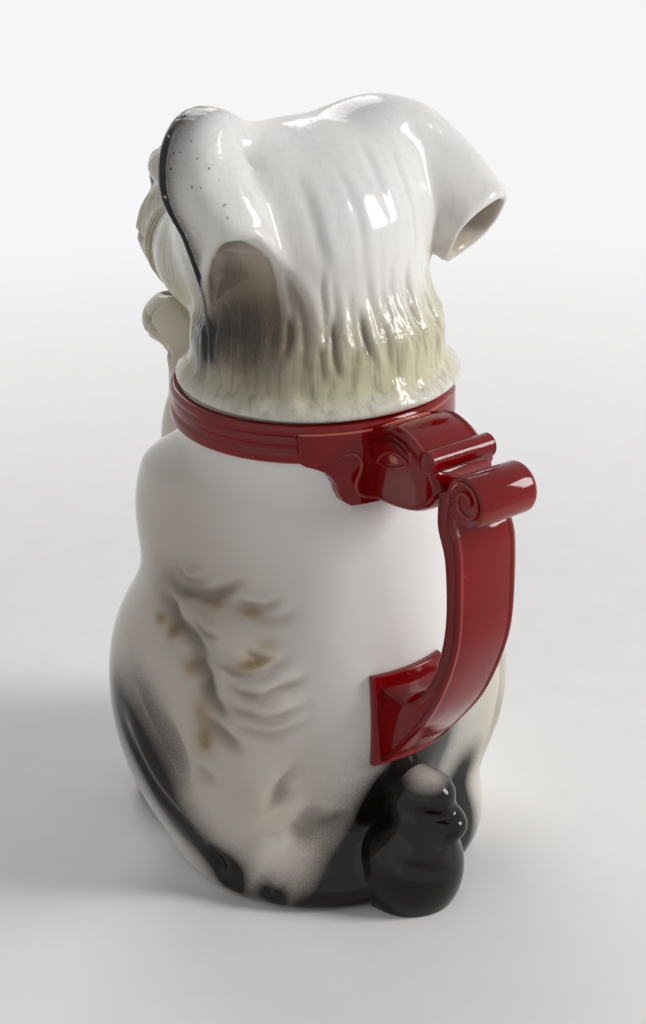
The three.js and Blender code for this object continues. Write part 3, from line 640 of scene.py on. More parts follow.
potSpots = [
    (warm, (50, 6, 84), (22, 28, 30), 0.75), (warm, (46, 24, 42), (28, 24, 28), 0.75),
    (warm, (32, 36, 12), (22, 16, 22), 0.45), (warm, (58, -22, 82), (12, 16, 14), 0.4),
    # the broad warm spot high on the left shoulder is stain, and also painted shade on that side
    (warm, (46, -8, 120), (16, 26, 26), 0.6), (warm, (36, 24, 98), (18, 14, 20), 0.25),
    (warm, (10, 44, 70), (24, 12, 30), 0.15), (dark, (49, -8, 100), (7, 8, 6), 0.35),
    (dark, (36, 33, 2), (9, 8, 8), 0.6), (dark, (47, 20, 3), (7, 8, 9), 0.6),
    (dark, (30, 36, 40), (10, 8, 12), 0.12),
    (warm, (54, -5, 90), (2.6, 2.6, 2), 0.7), (warm, (53, 1, 88), (2.2, 2.4, 3), 0.9),
    (warm, (43, 9, 97), (4, 3, 1.3), 0.6), (warm, (37, 18, 96), (5, 4, 1.8), 0.85),
    (warm, (36, 23, 87), (5, 3, 2.2), 0.5), (warm, (40, 23, 83), (6, 3, 1.6), 1.05),
    (warm, (54, 11, 81), (2.4, 3, 2.6), 0.6), (warm, (55, 17, 69), (2.4, 3, 6), 0.6),
    (warm, (55, 19, 61), (2.6, 3, 4), 0.85),
    (dark, (-4, 46, 14), (29, 18, 29), 1.5), (dark, (-8, 44, 44), (16, 12, 12), 0.9),
    (dark, (22, 40, 3), (14, 12, 13), 0.9), (dark, (14, 43, 16), (14, 10, 15), 0.6),
    (dark, (5, 44, 32), (14, 10, 13), 0.5),
    (dark, (-20, 40, 50), (9, 10, 14), 0.5), (dark, (62, -40, 26), (20, 24, 30), 1.1),
    (warm, (-50, 16, 44), (20, 22, 44), 0.55), (olive, (-52, 8, 60), (22, 26, 44), 0.45),
    (olive, (-38, 28, 28), (14, 14, 34), 0.25), (olive, (0, -50, 90), (40, 20, 50), 0.3),
]


def torsoField():
    torso = clayField(potClay)
    shape = potShape

    def field(points):
        out = np.hypot(points[:, 0] - shape["neckShift"][0], points[:, 1] - shape["neckShift"][1])
        share = smoothStep(shape["neckBottom"], shape["neckTop"], points[:, 2])
        return torso(points) * (1 - share) + (out - shape["neckRadius"]) * share
    return field


def potBody(limbs):
    shape = potShape
    field = torsoField()
    bm = lumpShapes(potClay)
    place = Matrix.Translation((*shape["neckShift"], shape["plugAt"]))
    bmesh.ops.create_cone(bm, cap_ends=True, segments=96, radius1=shape["plugRadius"],
                          radius2=shape["plugRadius"], depth=shape["plugDepth"], matrix=place)
    clay = startClay(oneSkin(bm, shape["voxel"]), field)
    drawFolds(clay, field, flankFolds + farFolds)
    for width, strength, path in potBands:
        crease(clay, bend(path), width, 0, 0, strength, shape["bandSoft"], dark)
    height = clay["points"][:, 2]
    for other in limbs:
        clay["relief"] += swell(clay["points"], other, cornerSwell) * (height < shape["limbTop"])
    tint(clay, potSpots)
    clay["relief"] *= smoothStep(*shape["reliefFrom"], height) * smoothStep(*shape["reliefTo"], height)
    mesh = closeClay(clay)
    points = getPoints(mesh)
    drop = np.clip(1 - points[:, 2] / shape["footRound"], 0, 1)
    inward = unit(clay["normals"] * (1, 1, 0))
    setPoints(mesh, points - inward * (shape["footRound"] * (1 - np.sqrt(1 - drop ** 2)))[:, None])
    bm = reopen(mesh)
    bmesh.ops.edgeloop_fill(bm, edges=cutFlat(bm, 0, True))
    inner, rim, low = shape["mouthRadius"], shape["rim"], shape["floor"]
    rings = [(inner + 3.6, rim), (inner + 1, rim), (inner + 0.3, rim - 0.3), (inner, rim - 1), (inner, 140),
             (inner - 0.5, 120), (inner - 0.5, 60), (inner - 1.5, 16), (inner - 6, low + 2), (inner - 14, low)]
    drawRings(bm, cutFlat(bm, rim - shape["rimCut"], False), rings)
    closeUp(bm, mesh)
    finishPiece("potBody", mesh, "pot", whiteGlaze, ["body_shell"])


# Limbs, paws and tail
forelegClay = {
    "across": 42, "up": 155, "softness": 2, "voxel": 0.7,
    "lumps": [
        ((-0.44, -0.95, 0.6), (0.3, 0.4, 0.2)), ((-0.36, -1.06, 0.3), (0.21, 0.25, 0.3)),
        ((-0.34, -1.05, 0.08), (0.19, 0.22, 0.1)), ((-0.33, -1.14, 0.045), (0.22, 0.34, 0.066)),
        ((-0.45, -1.4, 0.035), (0.085, 0.2, 0.046)), ((-0.33, -1.46, 0.035), (0.085, 0.2, 0.046)),
        ((-0.21, -1.4, 0.035), (0.085, 0.2, 0.046)),
    ],
}


def pawClay(side):
    shares = [((0.81, -0.87, 0.05), (0.24, 0.4, 0.075)), ((0.68, -1.15, 0.035), (0.09, 0.2, 0.045)),
              ((0.81, -1.18, 0.035), (0.09, 0.2, 0.045)), ((0.94, -1.08, 0.035), (0.09, 0.2, 0.045))]
    lumps = [((side * at[0], at[1], at[2]), half) for at, half in shares]
    return {"across": 42, "up": 155, "softness": 1.5, "voxel": 0.6, "lumps": lumps}


tailClay = {
    "across": 42, "up": 155, "softness": 1.6, "voxel": 0.6,
    "lumps": [
        ((0.03, 1.1, 0.065), (0.38, 0.37, 0.12)), ((-0.14, 1.1, 0.216), (0.16, 0.18, 0.036)),
        ((-0.17, 1.23, 0.162), (0.14, 0.17, 0.032)), ((-0.08, 1.0, 0.165), (0.22, 0.24, 0.09)),
    ],
}


def limb(name, form, host, material, node, folds, spots):
    field = clayField(form)
    clay = startClay(oneSkin(lumpShapes(form), form["voxel"]), field)
    clay["relief"] += swell(clay["points"], host, cornerSwell)
    drawFolds(clay, field, folds)
    tint(clay, spots)
    mesh = closeClay(clay)
    bm = reopen(mesh)
    bmesh.ops.edgeloop_fill(bm, edges=cutFlat(bm, 0, True))
    closeUp(bm, mesh)
    finishPiece(name, mesh, "pot", material, [node])


# The raised foreleg pours: a bore runs out between its toes
spoutClay = {
    "across": 42, "up": 155, "softness": 1.6, "voxel": 0.6,
    "lumps": [
        ((0.5, -0.7, 0.7), (0.34, 0.42, 0.12)), ((0.38, -1.03, 0.79), (0.26, 0.28, 0.14)),
        ((0.26, -1.2, 0.9), (0.2, 0.2, 0.12)), ((0.21, -1.31, 0.985), (0.2, 0.22, 0.06)),
        ((0.2, -1.48, 1.015), (0.24, 0.28, 0.052)), ((0.04, -1.56, 1.0), (0.08, 0.15, 0.03)),
        ((0.14, -1.62, 0.99), (0.08, 0.15, 0.03)), ((0.25, -1.62, 0.99), (0.08, 0.15, 0.03)),
        ((0.35, -1.56, 1.0), (0.08, 0.15, 0.03)),
    ],
}
spoutBore = {"radius": 5, "path": [(9, -52.5, 149), (8.4, -58, 156), (8, -63, 162), (7.6, -70, 171)]}
spoutFolds = [
    (0.9, 0.8, 0.2, 0.5, [(4.5, -59, 160), (4, -65, 156), (4, -70, 153)]),
    (0.9, 0.8, 0.2, 0.5, [(8.5, -60, 160), (8.5, -67, 156), (8.5, -72, 152)]),
    (0.9, 0.8, 0.2, 0.5, [(12.5, -59, 160), (13, -65, 156), (13.5, -70, 153)]),
    (1.2, 0.6, 0.3, 0.5, [(17, -58, 153), (18, -63, 157), (17, -69, 160)]),
    (1.6, 0.7, 0.4, 0.4, [(18, -50, 148), (17, -56, 150), (15, -58, 146)]),
]
spoutSpots = [(warm, (16, -56, 148), (9, 9, 6), 0.9), (olive, (8, -60, 150), (20, 20, 16), 0.5),
              (warm, (12, -44, 124), (12, 14, 20), 0.35)]


def lineField(path, radius):
    path = bend(path, 4)

    def field(points):
        best = np.full(len(points), 1e9)
        for a, b in zip(path[:-1], path[1:]):
            share = np.clip((points - a) @ (b - a) / ((b - a) ** 2).sum(), 0, 1)
            best = np.minimum(best, np.linalg.norm(points - a - share[:, None] * (b - a), axis=1))
        return best - radius
    return field


def spoutPaw(host):
    solid = clayField(spoutClay)
    hole = lineField(spoutBore["path"], spoutBore["radius"])

    def field(points):
        return both([solid(points), -hole(points)], 0.5)
    drill = bmesh.new()
    addTube(drill, bend(spoutBore["path"], 4), spoutBore["radius"])
    clay = startClay(oneSkin(lumpShapes(spoutClay), spoutClay["voxel"], [meshOf(drill)]), field)
    lowEnough = clay["points"][:, 2] < potShape["limbTop"]
    clay["relief"] += swell(clay["points"], host, cornerSwell) * lowEnough
    drawFolds(clay, solid, spoutFolds)
    tint(clay, spoutSpots)
    finishPiece("spoutPaw", closeClay(clay), "pot", creamGlaze, ["spout_foreleg"])


legFolds = [
    (1.0, 0.9, 0.2, 0.6, [(-16.5, -52, 9), (-16.5, -60, 8.5), (-16.5, -68, 3)]),
    (1.0, 0.9, 0.2, 0.6, [(-11.3, -52, 9), (-11.3, -60, 8.5), (-11.3, -68, 3)]),
    (1.3, 0.7, 0.4, 0.4, [(-22, -44, 96), (-23, -50, 84), (-21, -54, 66)]),
    (1.3, 0.6, 0.4, 0.3, [(-8, -50, 84), (-9, -54, 66), (-9, -54, 44)]),
    (1.3, 0.6, 0.4, 0.3, [(-14, -56, 74), (-14, -56, 54), (-13, -54, 34)]),
]
legSpots = [(dark, (-14, -70, 2), (12, 9, 5), 0.7), (olive, (-15, -50, 40), (20, 24, 50), 0.5),
            (warm, (-14, -58, 12), (14, 14, 8), 0.5)]


# Two creases between the three toes
def pawFolds(side):
    return [(1.0, 0.9, 0.2, 0.6, [(side * x, -42, 11), (side * x, -50, 8.5), (side * x, -57, 3)])
            for x in (31, 37)]


pawSpots = {
    "hindPawLeft": [(dark, (36, -44, 4), (26, 26, 16), 1.3)],
    "hindPawRight": [(dark, (-34, -56, 1), (16, 10, 6), 0.6), (olive, (-34, -40, 8), (20, 20, 14), 0.6)],
}
tailFolds = [
    (1.5, 0.9, 0.3, 0, [(6, 50, 32), (0, 56, 31), (-6, 58, 31), (-12, 54, 31)]),
    (2.4, 0.7, 0.3, 0, [(14, 50, 20), (6, 59, 17), (-4, 62, 16)]),
]
tailSpots = [(dark, (0, 46, 18), (90, 90, 90), 1.25), (dark, (-3, 47, 41), (7, 7, 4.5), -1.05),
             (warm, (-3, 47, 40), (8, 8, 8), 0.5)]

# Red collar, its outline as radius and height before the edges are rounded
collarShape = {
    "rounding": 0.7, "paleBelow": 144.1,
    "profile": [(38.4, 143.6), (40.6, 143.6), (41.2, 144.4), (41.2, 146.6), (40.2, 147.4), (40.3, 148.6),
                (40.7, 149.2), (40.5, 150.4), (39.9, 151.3), (41.0, 152.0), (41.2, 153.2), (40.4, 154.6),
                (38.4, 154.7)],
}


def collar():
    bm = bmesh.new()
    spinProfile(bm, roundCorners(collarShape["profile"], collarShape["rounding"]), potShape["neckShift"], 160)
    brush(bm, bm.verts, (0, 0, 0, 0))
    brush(bm, [v for v in bm.verts if v.co.z < collarShape["paleBelow"]], (0, 0.8, 0, 0))
    finishPiece("collarBand", meshOf(bm), "pot", redMaterial, ["collar_band"])


# The handle, drawn from the side as (y, z) and given its width along X
handleShape = {
    "width": 21,
    "outside": [(0, 0.1), (3, 0.12), (6, 0.25), (7.8, 0.5), (8.3, 0.55), (8.7, 0.15), (9.1, 0.1), (9.5, 0.35),
                (9.9, 0.7), (10.2, 1.05), (10.45, 1.25), (10.5, 1.6), (10.35, 1.95), (10, 2.25), (9.85, 2.7)],
    "inside": [(0.01, 0), (3, 0), (6, 0.02), (8.2, 0.25), (9.4, 0.7), (10, 1.1), (10.3, 1.6), (10.2, 2),
               (9.85, 2.4)],
    "strapOuter": [(74.1, 144.2), (72.6, 137.2), (75.6, 128.7), (76, 107), (73, 93), (65.4, 76), (54.7, 61.2),
                   (45.6, 50.4), (39.5, 45)],
    "strapInner": [(66.5, 144.2), (66.1, 134.1), (69.5, 124), (69.9, 107), (66.9, 93), (61.6, 82.2),
                   (54.7, 75.5), (47.1, 74.4), (39.5, 75.2)],
    "tongueTop": [(35, 151.6), (41.8, 153.9), (48.6, 156.2), (54.7, 155.3), (59.3, 152.7), (64.5, 149)],
    "tongueUnder": [(35, 131.4), (43, 131.7), (50, 132.4), (57, 134), (62.3, 137), (65.6, 141)],
    "beadAt": (62.9, 150.7), "beadRadius": 3.3,
    "roll": {"at": (78, 144.8), "radius": 7, "dome": 3.4, "turns": 1.6, "shares": (0.84, 0.2)},
    "eye": [(41, 143.4), (43, 146.1), (47, 148.4), (50.9, 148.6), (53.9, 147.4), (50, 145), (45.2, 143.4),
            (41, 143.4)],
    "brows": [[(34.1, 145.9), (39.5, 150.3), (45.7, 152.6), (51.3, 152.6), (55.1, 151)],
              [(35.9, 144.8), (40.4, 148.8), (46.1, 151), (50.9, 150.8), (54.4, 149.3)]],
    "pupilAt": (48, 146.6), "pupilHalf": (0.9, 2.2, 1.3), "edgeFrom": 10.1, "groove": (8.5, 9.3),
    # the painted highlight on the top of the tongue
    "pale": {"inset": 1.5, "above": 152, "from": 38, "to": 52, "fade": 9, "edge": 3, "strength": 0.5},
}
backPlates = {
    "cartouche": {"bottom": 129.6, "top": 152.6, "thickness": 3.15,
                  "half": [(0, 14.5), (0.05, 16.2), (0.16, 17.4), (0.26, 18.1), (0.34, 19.1), (0.42, 20.3),
                           (0.5, 22.2), (0.55, 24.4), (0.59, 27), (0.63, 28), (1, 28)]},
    "landing": {"bottom": 47, "top": 77, "thickness": 2.1, "half": [(0, 12.3), (0.5, 12.5), (1, 12.5)]},
    "gap": 0.15, "rounding": 0.8, "sharpEdge": 0.8, "searchFrom": 15.0, "searchTo": 90.0, "searches": 24,
    "lip": [(20, 144.7), (17.7, 145.9), (14.9, 146), (13.4, 144.2), (13.2, 141), (13.6, 137), (13.1, 134),
            (11.4, 132.2), (8.1, 131.2), (4, 130.8), (0, 130.7)],
}


def mirrored(rows):
    return [(-x, deep) for x, deep in reversed(rows) if x > 0] + rows


# A beam drawn station by station, each from its outer to its inner point, with the same rounded section
def beam(bm, outer, inner):
    outside, inside = mirrored(handleShape["outside"]), mirrored(handleShape["inside"])
    edges = before = None
    for high, low in zip(np.array(outer, float), np.array(inner, float)):
        way = (low - high) / np.linalg.norm(low - high)
        places = np.array([(x, *(high + way * deep)) for x, deep in outside]
                          + [(x, *(low - way * deep)) for x, deep in inside[::-1]])
        if edges is None:
            verts = [bm.verts.new(place) for place in places]
            edges = [bm.edges.new(pair) for pair in zip(verts, verts[1:] + verts[:1])]
            first = edges
        else:
            drawn = bmesh.ops.extrude_edge_only(bm, edges=edges)["geom"]
            edges = [edge for edge in drawn if isinstance(edge, bmesh.types.BMEdge)]
            for vert in [vert for vert in drawn if isinstance(vert, bmesh.types.BMVert)]:
                vert.co = places[np.argmin(np.linalg.norm(before - np.array(vert.co), axis=1))]
        before = places
    bmesh.ops.edgeloop_fill(bm, edges=first)
    bmesh.ops.edgeloop_fill(bm, edges=edges)
    bmesh.ops.recalc_face_normals(bm, faces=bm.faces)


def sideLine(points, steps=6):
    return [(y, z) for x, y, z in bend([(0, y, z) for y, z in points], steps)]


def skinBehind(field, x, z, offset):
    near, far = np.full(len(x), backPlates["searchFrom"]), np.full(len(x), backPlates["searchTo"])
    for turn in range(backPlates["searches"]):
        middle = (near + far) / 2
        inside = field(np.stack([x, middle, z], axis=1)) < offset
        near, far = np.where(inside, middle, near), np.where(inside, far, middle)
    return near


# A plate on the dog's back: a grid drawn to its outline, laid on the skin and given a rounded thickness
def backPlate(bm, plate, skin):
    heights, halves = zip(*plate["half"])
    before = set(bm.faces)
    bmesh.ops.create_grid(bm, x_segments=44, y_segments=36, size=1)
    faces = [face for face in bm.faces if face not in before]
    verts = list({vert for face in faces for vert in face.verts})
    drawn = bmesh.ops.extrude_face_region(bm, geom=faces)["geom"]
    front = [v for v in drawn if isinstance(v, bmesh.types.BMVert)]
    for part, offset in ((verts, backPlates["gap"]), (front, plate["thickness"])):
        up = np.array([(vert.co.y + 1) / 2 for vert in part])
        across = np.array([vert.co.x for vert in part]) * np.interp(up, heights, halves)
        high = plate["bottom"] + up * (plate["top"] - plate["bottom"])
        out = skinBehind(skin, across, high, offset)
        for vert, x, y, z in zip(part, across, out, high):
            vert.co = (x, y, z)
    new = [face for face in bm.faces if face not in before]
    bmesh.ops.recalc_face_normals(bm, faces=new)
    inFront = set(front)
    edges = [edge for edge in bm.edges if edge.verts[0] in inFront and edge.verts[1] in inFront
             and len(edge.link_faces) == 2 and edge.calc_face_angle() > backPlates["sharpEdge"]]
    bmesh.ops.bevel(bm, geom=edges, offset=backPlates["rounding"], offset_type="OFFSET", segments=3,
                    profile=0.5, affect="EDGES", material=-1, clamp_overlap=True)


def bracket(skin):
    shape = handleShape
    bm = bmesh.new()
    beam(bm, sideLine(shape["tongueTop"]), sideLine(shape["tongueUnder"]))
    half = shape["width"] / 2
    y, z = shape["beadAt"]
    bead = shape["beadRadius"]
    addTube(bm, [(x, y, z) for x in np.linspace(-half + 0.4, half - 0.4, 24)], bead)
    for x in (-half + 0.4, half - 0.4):
        place = Matrix.Translation((x, y, z)) @ Matrix.Diagonal((1.4, bead, bead, 1))
        bmesh.ops.create_uvsphere(bm, u_segments=24, v_segments=16, radius=1, matrix=place)
    backPlate(bm, backPlates["cartouche"], skin)
    brush(bm, bm.verts, (0, 0, 0, 0))
    # A painted highlight: the top of the tongue is brushed pale red, fading outwards along the tongue and
    # towards its sides
    pale = shape["pale"]
    within = half - pale["inset"]
    for vert in bm.verts:
        if abs(vert.co.x) < within and vert.co.z > pale["above"] and pale["from"] < vert.co.y < pale["to"]:
            share = min(1, (pale["to"] - vert.co.y) / pale["fade"])
            share *= min(1, (within - abs(vert.co.x)) / pale["edge"])
            brush(bm, [vert], (0, pale["strength"] * share, 0, 0))
    rim = np.linspace(-half + 1, half - 1, 20)
    addTube(bm, [(x, 41.6 - 0.012 * x * x, 153.9 - 0.01 * x * x) for x in rim], 0.4, True, (0, 0.8, 0, 0))
    for x in (half - 0.6, -half + 0.6):
        addTube(bm, bend([(x, y, z) for y, z in shape["eye"]], 6), 0.45, False, (0, 0.14, 0, 0))
        place = Matrix.Translation((x - 0.4 * np.sign(x), *shape["pupilAt"]))
        place = place @ Matrix.Diagonal((*shape["pupilHalf"], 1))
        bmesh.ops.create_uvsphere(bm, u_segments=16, v_segments=10, radius=1, matrix=place)
        for brow in shape["brows"]:
            addTube(bm, bend([(x, y, z) for y, z in brow], 6), 0.5, True, (0.4, 0, 0, 0))
    lip = backPlates["lip"]
    whole = lip + [(-x, z) for x, z in reversed(lip[:-1])]
    across, high = bend([(x, 0, z) for x, z in whole], 5)[:, [0, 2]].T
    out = skinBehind(skin, across, high, backPlates["cartouche"]["thickness"])
    addTube(bm, list(zip(across, out, high)), 0.55, True, (0, 0.3, 0, 0))
    finishPiece("bracketScroll", meshOf(bm), "pot", redMaterial, ["handle_bracket"])


def strap():
    shape = handleShape
    bm = bmesh.new()
    beam(bm, sideLine(shape["strapOuter"], 8), sideLine(shape["strapInner"], 8))
    brush(bm, bm.verts, (0, 0, 0, 0))
    # Painted shade: the strap's sides are brushed deep red
    brush(bm, [vert for vert in bm.verts if abs(vert.co.x) > shape["edgeFrom"]], (0.6, 0, 0, 0))
    low, high = shape["groove"]
    brush(bm, [vert for vert in bm.verts if low < abs(vert.co.x) < high], (0, 0.12, 0, 0))
    finishPiece("gripStrap", meshOf(bm), "pot", redMaterial, ["handle_strap"])


def roll():
    shape = handleShape["roll"]
    half, radius = handleShape["width"] / 2, shape["radius"]
    bm = bmesh.new()
    rings = [(0.01, half - 0.7), (radius * 0.8, half - 0.7), (radius - 0.9, half - 0.3),
             (radius - 0.35, half - 0.1), (radius, half - 0.8)]
    dome = shape["dome"]
    for i in range(13):
        turn = math.pi / 2 * i / 12
        rings.append((max(radius * math.cos(turn), 0.01), -half + dome - dome * math.sin(turn)))
    verts = [bm.verts.new((x, out, 0)) for out, x in rings]
    edges = [bm.edges.new(pair) for pair in zip(verts[:-1], verts[1:])]
    bmesh.ops.spin(bm, geom=verts + edges, cent=(0, 0, 0), axis=(1, 0, 0), angle=2 * math.pi, steps=48,
                   use_merge=True)
    bmesh.ops.remove_doubles(bm, verts=bm.verts, dist=0.05)
    bmesh.ops.translate(bm, verts=bm.verts, vec=(0, *shape["at"]))
    bmesh.ops.recalc_face_normals(bm, faces=bm.faces)
    brush(bm, bm.verts, (0, 0, 0, 0))
    path = []
    (y, z), (start, end) = shape["at"], shape["shares"]
    for share in np.linspace(0, 1, 70):
        turn = share * shape["turns"] * 2 * math.pi
        out = radius * (start + (end - start) * share)
        path.append((half - 0.6, y - out * math.cos(turn), z + out * math.sin(turn)))
    addTube(bm, path, 0.6, True, (0, 0.16, 0, 0))
    finishPiece("voluteRoll", meshOf(bm), "pot", redMaterial, ["handle_volute"])


def footPlate(skin):
    bm = bmesh.new()
    backPlate(bm, backPlates["landing"], skin)
    finishPiece("footPlate", meshOf(bm), "pot", redMaterial, ["handle_foot_plate"])


# The head: skull, muzzle and brows in clay over the flared skirt, with a hollow ear folded down at each side
headClay = {
    "across": 36, "up": 76, "base": 155.3, "softness": 2.4, "voxel": 0.72,
    "lumps": [
        ((0, -0.17, 0.535), (1.0, 0.98, 0.4)), ((0, 0, 0.2), (0.95, 0.94, 0.36)),
        ((0, -0.95, 0.55), (0.4, 0.5, 0.17)), ((0, -1.36, 0.46), (0.46, 0.8, 0.17)),
        ((0, -1.3, 0.6), (0.32, 0.84, 0.1)), ((0, -2.12, 0.56), (0.19, 0.15, 0.06)),
        ((0, -1.66, 0.285), (0.36, 0.48, 0.115)),
    ],
    "pairs": [
        ((0.5, -0.17, 0.7), (0.46, 0.6, 0.24)), ((0.42, -0.8, 0.4), (0.46, 0.52, 0.22)),
        ((0.45, -1.08, 0.715), (0.32, 0.36, 0.09)), ((0.27, -1.62, 0.37), (0.26, 0.54, 0.17)),
        ((0.42, -1.25, 0.37), (0.26, 0.44, 0.17)), ((0.38, -1.22, 0.635), (0.12, 0.13, 0.058)),
    ],
}
skirtLine = {
    "radii": [40.2, 41.0, 40.8, 39.1, 37.0, 35.9, 35.4, 33.5, 20],
    "heights": [155.3, 156.2, 157.4, 159.2, 161.4, 164, 169, 174.5, 182],
    "slope": 0.85, "softness": 2.0,
}
ears = {
    "wall": 2.8, "hollowFrom": 0.42, "lip": 0.7, "blend": 2.2, "squareness": 2.6,
    "innerRadius": 31, "innerTop": 198, "innerFrom": 193, "innerRamp": 0.42, "reach": 26, "farOff": 30.0,
    "left": {
        "spine": [(16.6, -5.4, 204), (23, -4.7, 216.5), (31.7, -3.4, 224.1), (36.4, 1.1, 216.1),
                  (34.2, 6.5, 205.8), (31.9, 9.7, 194.4), (30.2, 9, 184.2), (29.2, 7.9, 172)],
        "halves": [(7.9, 7.9), (9, 9.7), (9.7, 10.1), (11.9, 10.1), (13, 9.7), (13, 9.7), (11.5, 9.4),
                   (11.2, 9.4)],
        "mouth": (34, 19.5, 204), "way": (0.477, 0.684, -0.553),
    },
    "right": {
        "spine": [(-12.2, -5.8, 210), (-22, -4, 218), (-29.9, -1.1, 217.2), (-36, 4, 210.8),
                  (-39.6, 11.2, 202.4), (-42.1, 18.4, 194.4), (-43.9, 28.1, 184.9)],
        "halves": [(11.9, 9.4), (11.9, 10.8), (11.9, 11.5), (11.9, 11.5), (11.9, 11.9), (11.9, 11.9),
                   (11.9, 11.9)],
        "mouth": (-48, 24, 203), "way": (-0.25, 0.78, -0.57),
    },
}


# A flap round a bent spine: where each point of the spine stands, its way, and its half sizes
def flapLine(ear, wall, first, steps=14):
    spine = bend(ear["spine"], steps)
    count = len(spine)
    shares = np.linspace(0, 1, count)
    marks = np.linspace(0, 1, len(ear["halves"]))
    halves = np.stack([np.interp(shares, marks, column) for column in np.array(ear["halves"]).T], axis=1) - wall
    along = unit(np.gradient(spine, axis=0))
    side = np.array([0, 1.0, 0]) - along * along[:, 1:2]
    side = unit(side)
    front = np.cross(along, side)
    keep = shares >= first
    return spine[keep], along[keep], side[keep], front[keep], halves[keep]


def flapField(line):
    spine, along, side, front, halves = line
    low, high = spine.min(axis=0) - ears["reach"], spine.max(axis=0) + ears["reach"]
    lengths = (spine ** 2).sum(axis=1)
    power = ears["squareness"]

    def field(points):
        out = np.full(len(points), ears["farOff"])
        rows = np.nonzero(np.all((points > low) & (points < high), axis=1))[0]
        if len(rows):
            here = points[rows]
            at = np.argmin(lengths - 2 * here @ spine.T, axis=1)
            gap = here - spine[at]
            local = np.stack([(gap * axis[at]).sum(axis=1) for axis in (side, front, along)], axis=1)
            inner = (at > 0) & (at < len(spine) - 1)
            local[:, 2] = np.where(inner, 0, local[:, 2])
            scale = np.concatenate([halves[at], halves[at].min(axis=1, keepdims=True)], axis=1)
            part = np.abs(local / scale)
            reach = np.maximum((part ** power).sum(axis=1) ** (1 / power), 1e-6)
            slope = np.linalg.norm((part / reach[:, None]) ** (power - 1) / scale, axis=1)
            out[rows] = (reach - 1) / np.maximum(slope, 1e-6)
        return out
    return field


def flapMesh(line, voxel, cutters=()):
    bm = bmesh.new()
    for place, along, side, front, half in zip(*[column[::4] for column in line]):
        turn = Matrix((side, front, along)).transposed().to_4x4()
        size = Matrix.Diagonal((*half, min(half), 1))
        bmesh.ops.create_uvsphere(bm, u_segments=24, v_segments=14, radius=1,
                                  matrix=Matrix.Translation(place) @ turn @ size)
    return oneSkin(bm, voxel, cutters)


def beyond(at, way):
    bm = bmesh.new()
    turn = Vector((0, 0, 1)).rotation_difference(Vector(way)).to_matrix().to_4x4()
    place = Matrix.Translation(at) @ turn @ Matrix.Translation((0, 0, 40)) @ Matrix.Scale(80, 4)
    bmesh.ops.create_cube(bm, size=1, matrix=place)
    return meshOf(bm)


# The head's field, the field of the rooms in its ears, and the ears' meshes
def headParts():
    solid = clayField(headClay)
    flaps, shells = [], []

    def skirt(points):
        radii = np.interp(points[:, 2], skirtLine["heights"], skirtLine["radii"])
        out = (np.hypot(points[:, 0], points[:, 1]) - radii) * skirtLine["slope"]
        return np.maximum(out, points[:, 2] - skirtLine["heights"][-1])
    for side in ("left", "right"):
        ear = ears[side]
        outer, inner = flapLine(ear, 0, 0), flapLine(ear, ears["wall"], ears["hollowFrom"])
        hollow = flapMesh(inner, 1.0)
        shells.append(flapMesh(outer, 0.8, [hollow, beyond(ear["mouth"], ear["way"])]))
        way = unit(np.array([ear["way"]]))[0]
        flaps.append((flapField(outer), flapField(inner), np.array(ear["mouth"]), way))

    # The left ear's room also reaches into the skull, down to a ramp
    def field(points):
        rooms = [inner(points) for outer, inner, mouth, way in flaps]
        fields = [melt([solid(points), skirt(points)], skirtLine["softness"])]
        for room, (outer, inner, mouth, way) in zip(rooms, flaps):
            fields.append(both([outer(points), -room, (points - mouth) @ way], ears["lip"]))
        ramp = ears["innerRadius"] + ears["innerRamp"] * np.clip(ears["innerFrom"] - points[:, 2], 0, None)
        skull = np.maximum(ramp - np.hypot(points[:, 0], points[:, 1]), points[:, 2] - ears["innerTop"])
        return both([melt(fields, ears["blend"]), -np.maximum(rooms[0], skull)], ears["lip"])

    def inside(points):
        return np.minimum(*[inner(points) for outer, inner, mouth, way in flaps])
    return field, inside, shells


# Hair and paint on the head
headFolds = [
    (1.8, 0.5, 0.3, 0.1, [(18, 16, 222), (16, 19, 212), (16, 25, 200), (14, 27, 190)]),
    (1.6, 0.35, 0.2, 0.06, [(-8, 8, 225), (-5, 22, 213), (-6, 28, 200)]),
    (1.4, 0.3, 0.2, 0.05, [(-16, 10, 222), (-14, 20, 210), (-14, 26, 198), (-12, 29, 184)]),
    (1.4, 0.3, 0.2, 0.05, [(6, 14, 223), (5, 23, 212), (5, 29, 200), (6, 31, 186)]),
    (1.2, 0.3, 0.1, 0.15, [(0, -30, 226), (0, -44, 216), (0, -52, 208)]),
    (1.6, 1.2, 0.7, 0.6, [(24, 20, 197), (23, 22, 190), (21, 24, 182), (21, 25, 172), (22, 26, 166)]),
    (1.1, 0.9, 0.4, 0.8, [(25, 21, 184), (24, 22, 177), (25, 22, 169)]),
    (1.2, 1.0, 0.5, 0.9, [(14, 28, 184), (15, 29, 177), (15, 30, 169), (14, 32, 163)]),
    (1.0, 0.8, 0.4, 0.7, [(18, 26, 176), (18, 28, 168), (19, 29, 163)]),
    (0.9, 0.6, 0.3, 0.6, [(8, 30, 186), (7, 32, 177), (7, 33, 168)]),
    (0.9, 0.6, 0.3, 0.5, [(1, 31, 184), (1, 33, 172), (2, 34, 163)]),
    (0.9, 0.6, 0.3, 0.5, [(-9, 30, 186), (-11, 31, 174), (-11, 32, 165)]),
    (1.0, 0.6, 0.3, 0.5, [(-19, 27, 186), (-20, 27, 174), (-22, 27, 164)]),
]
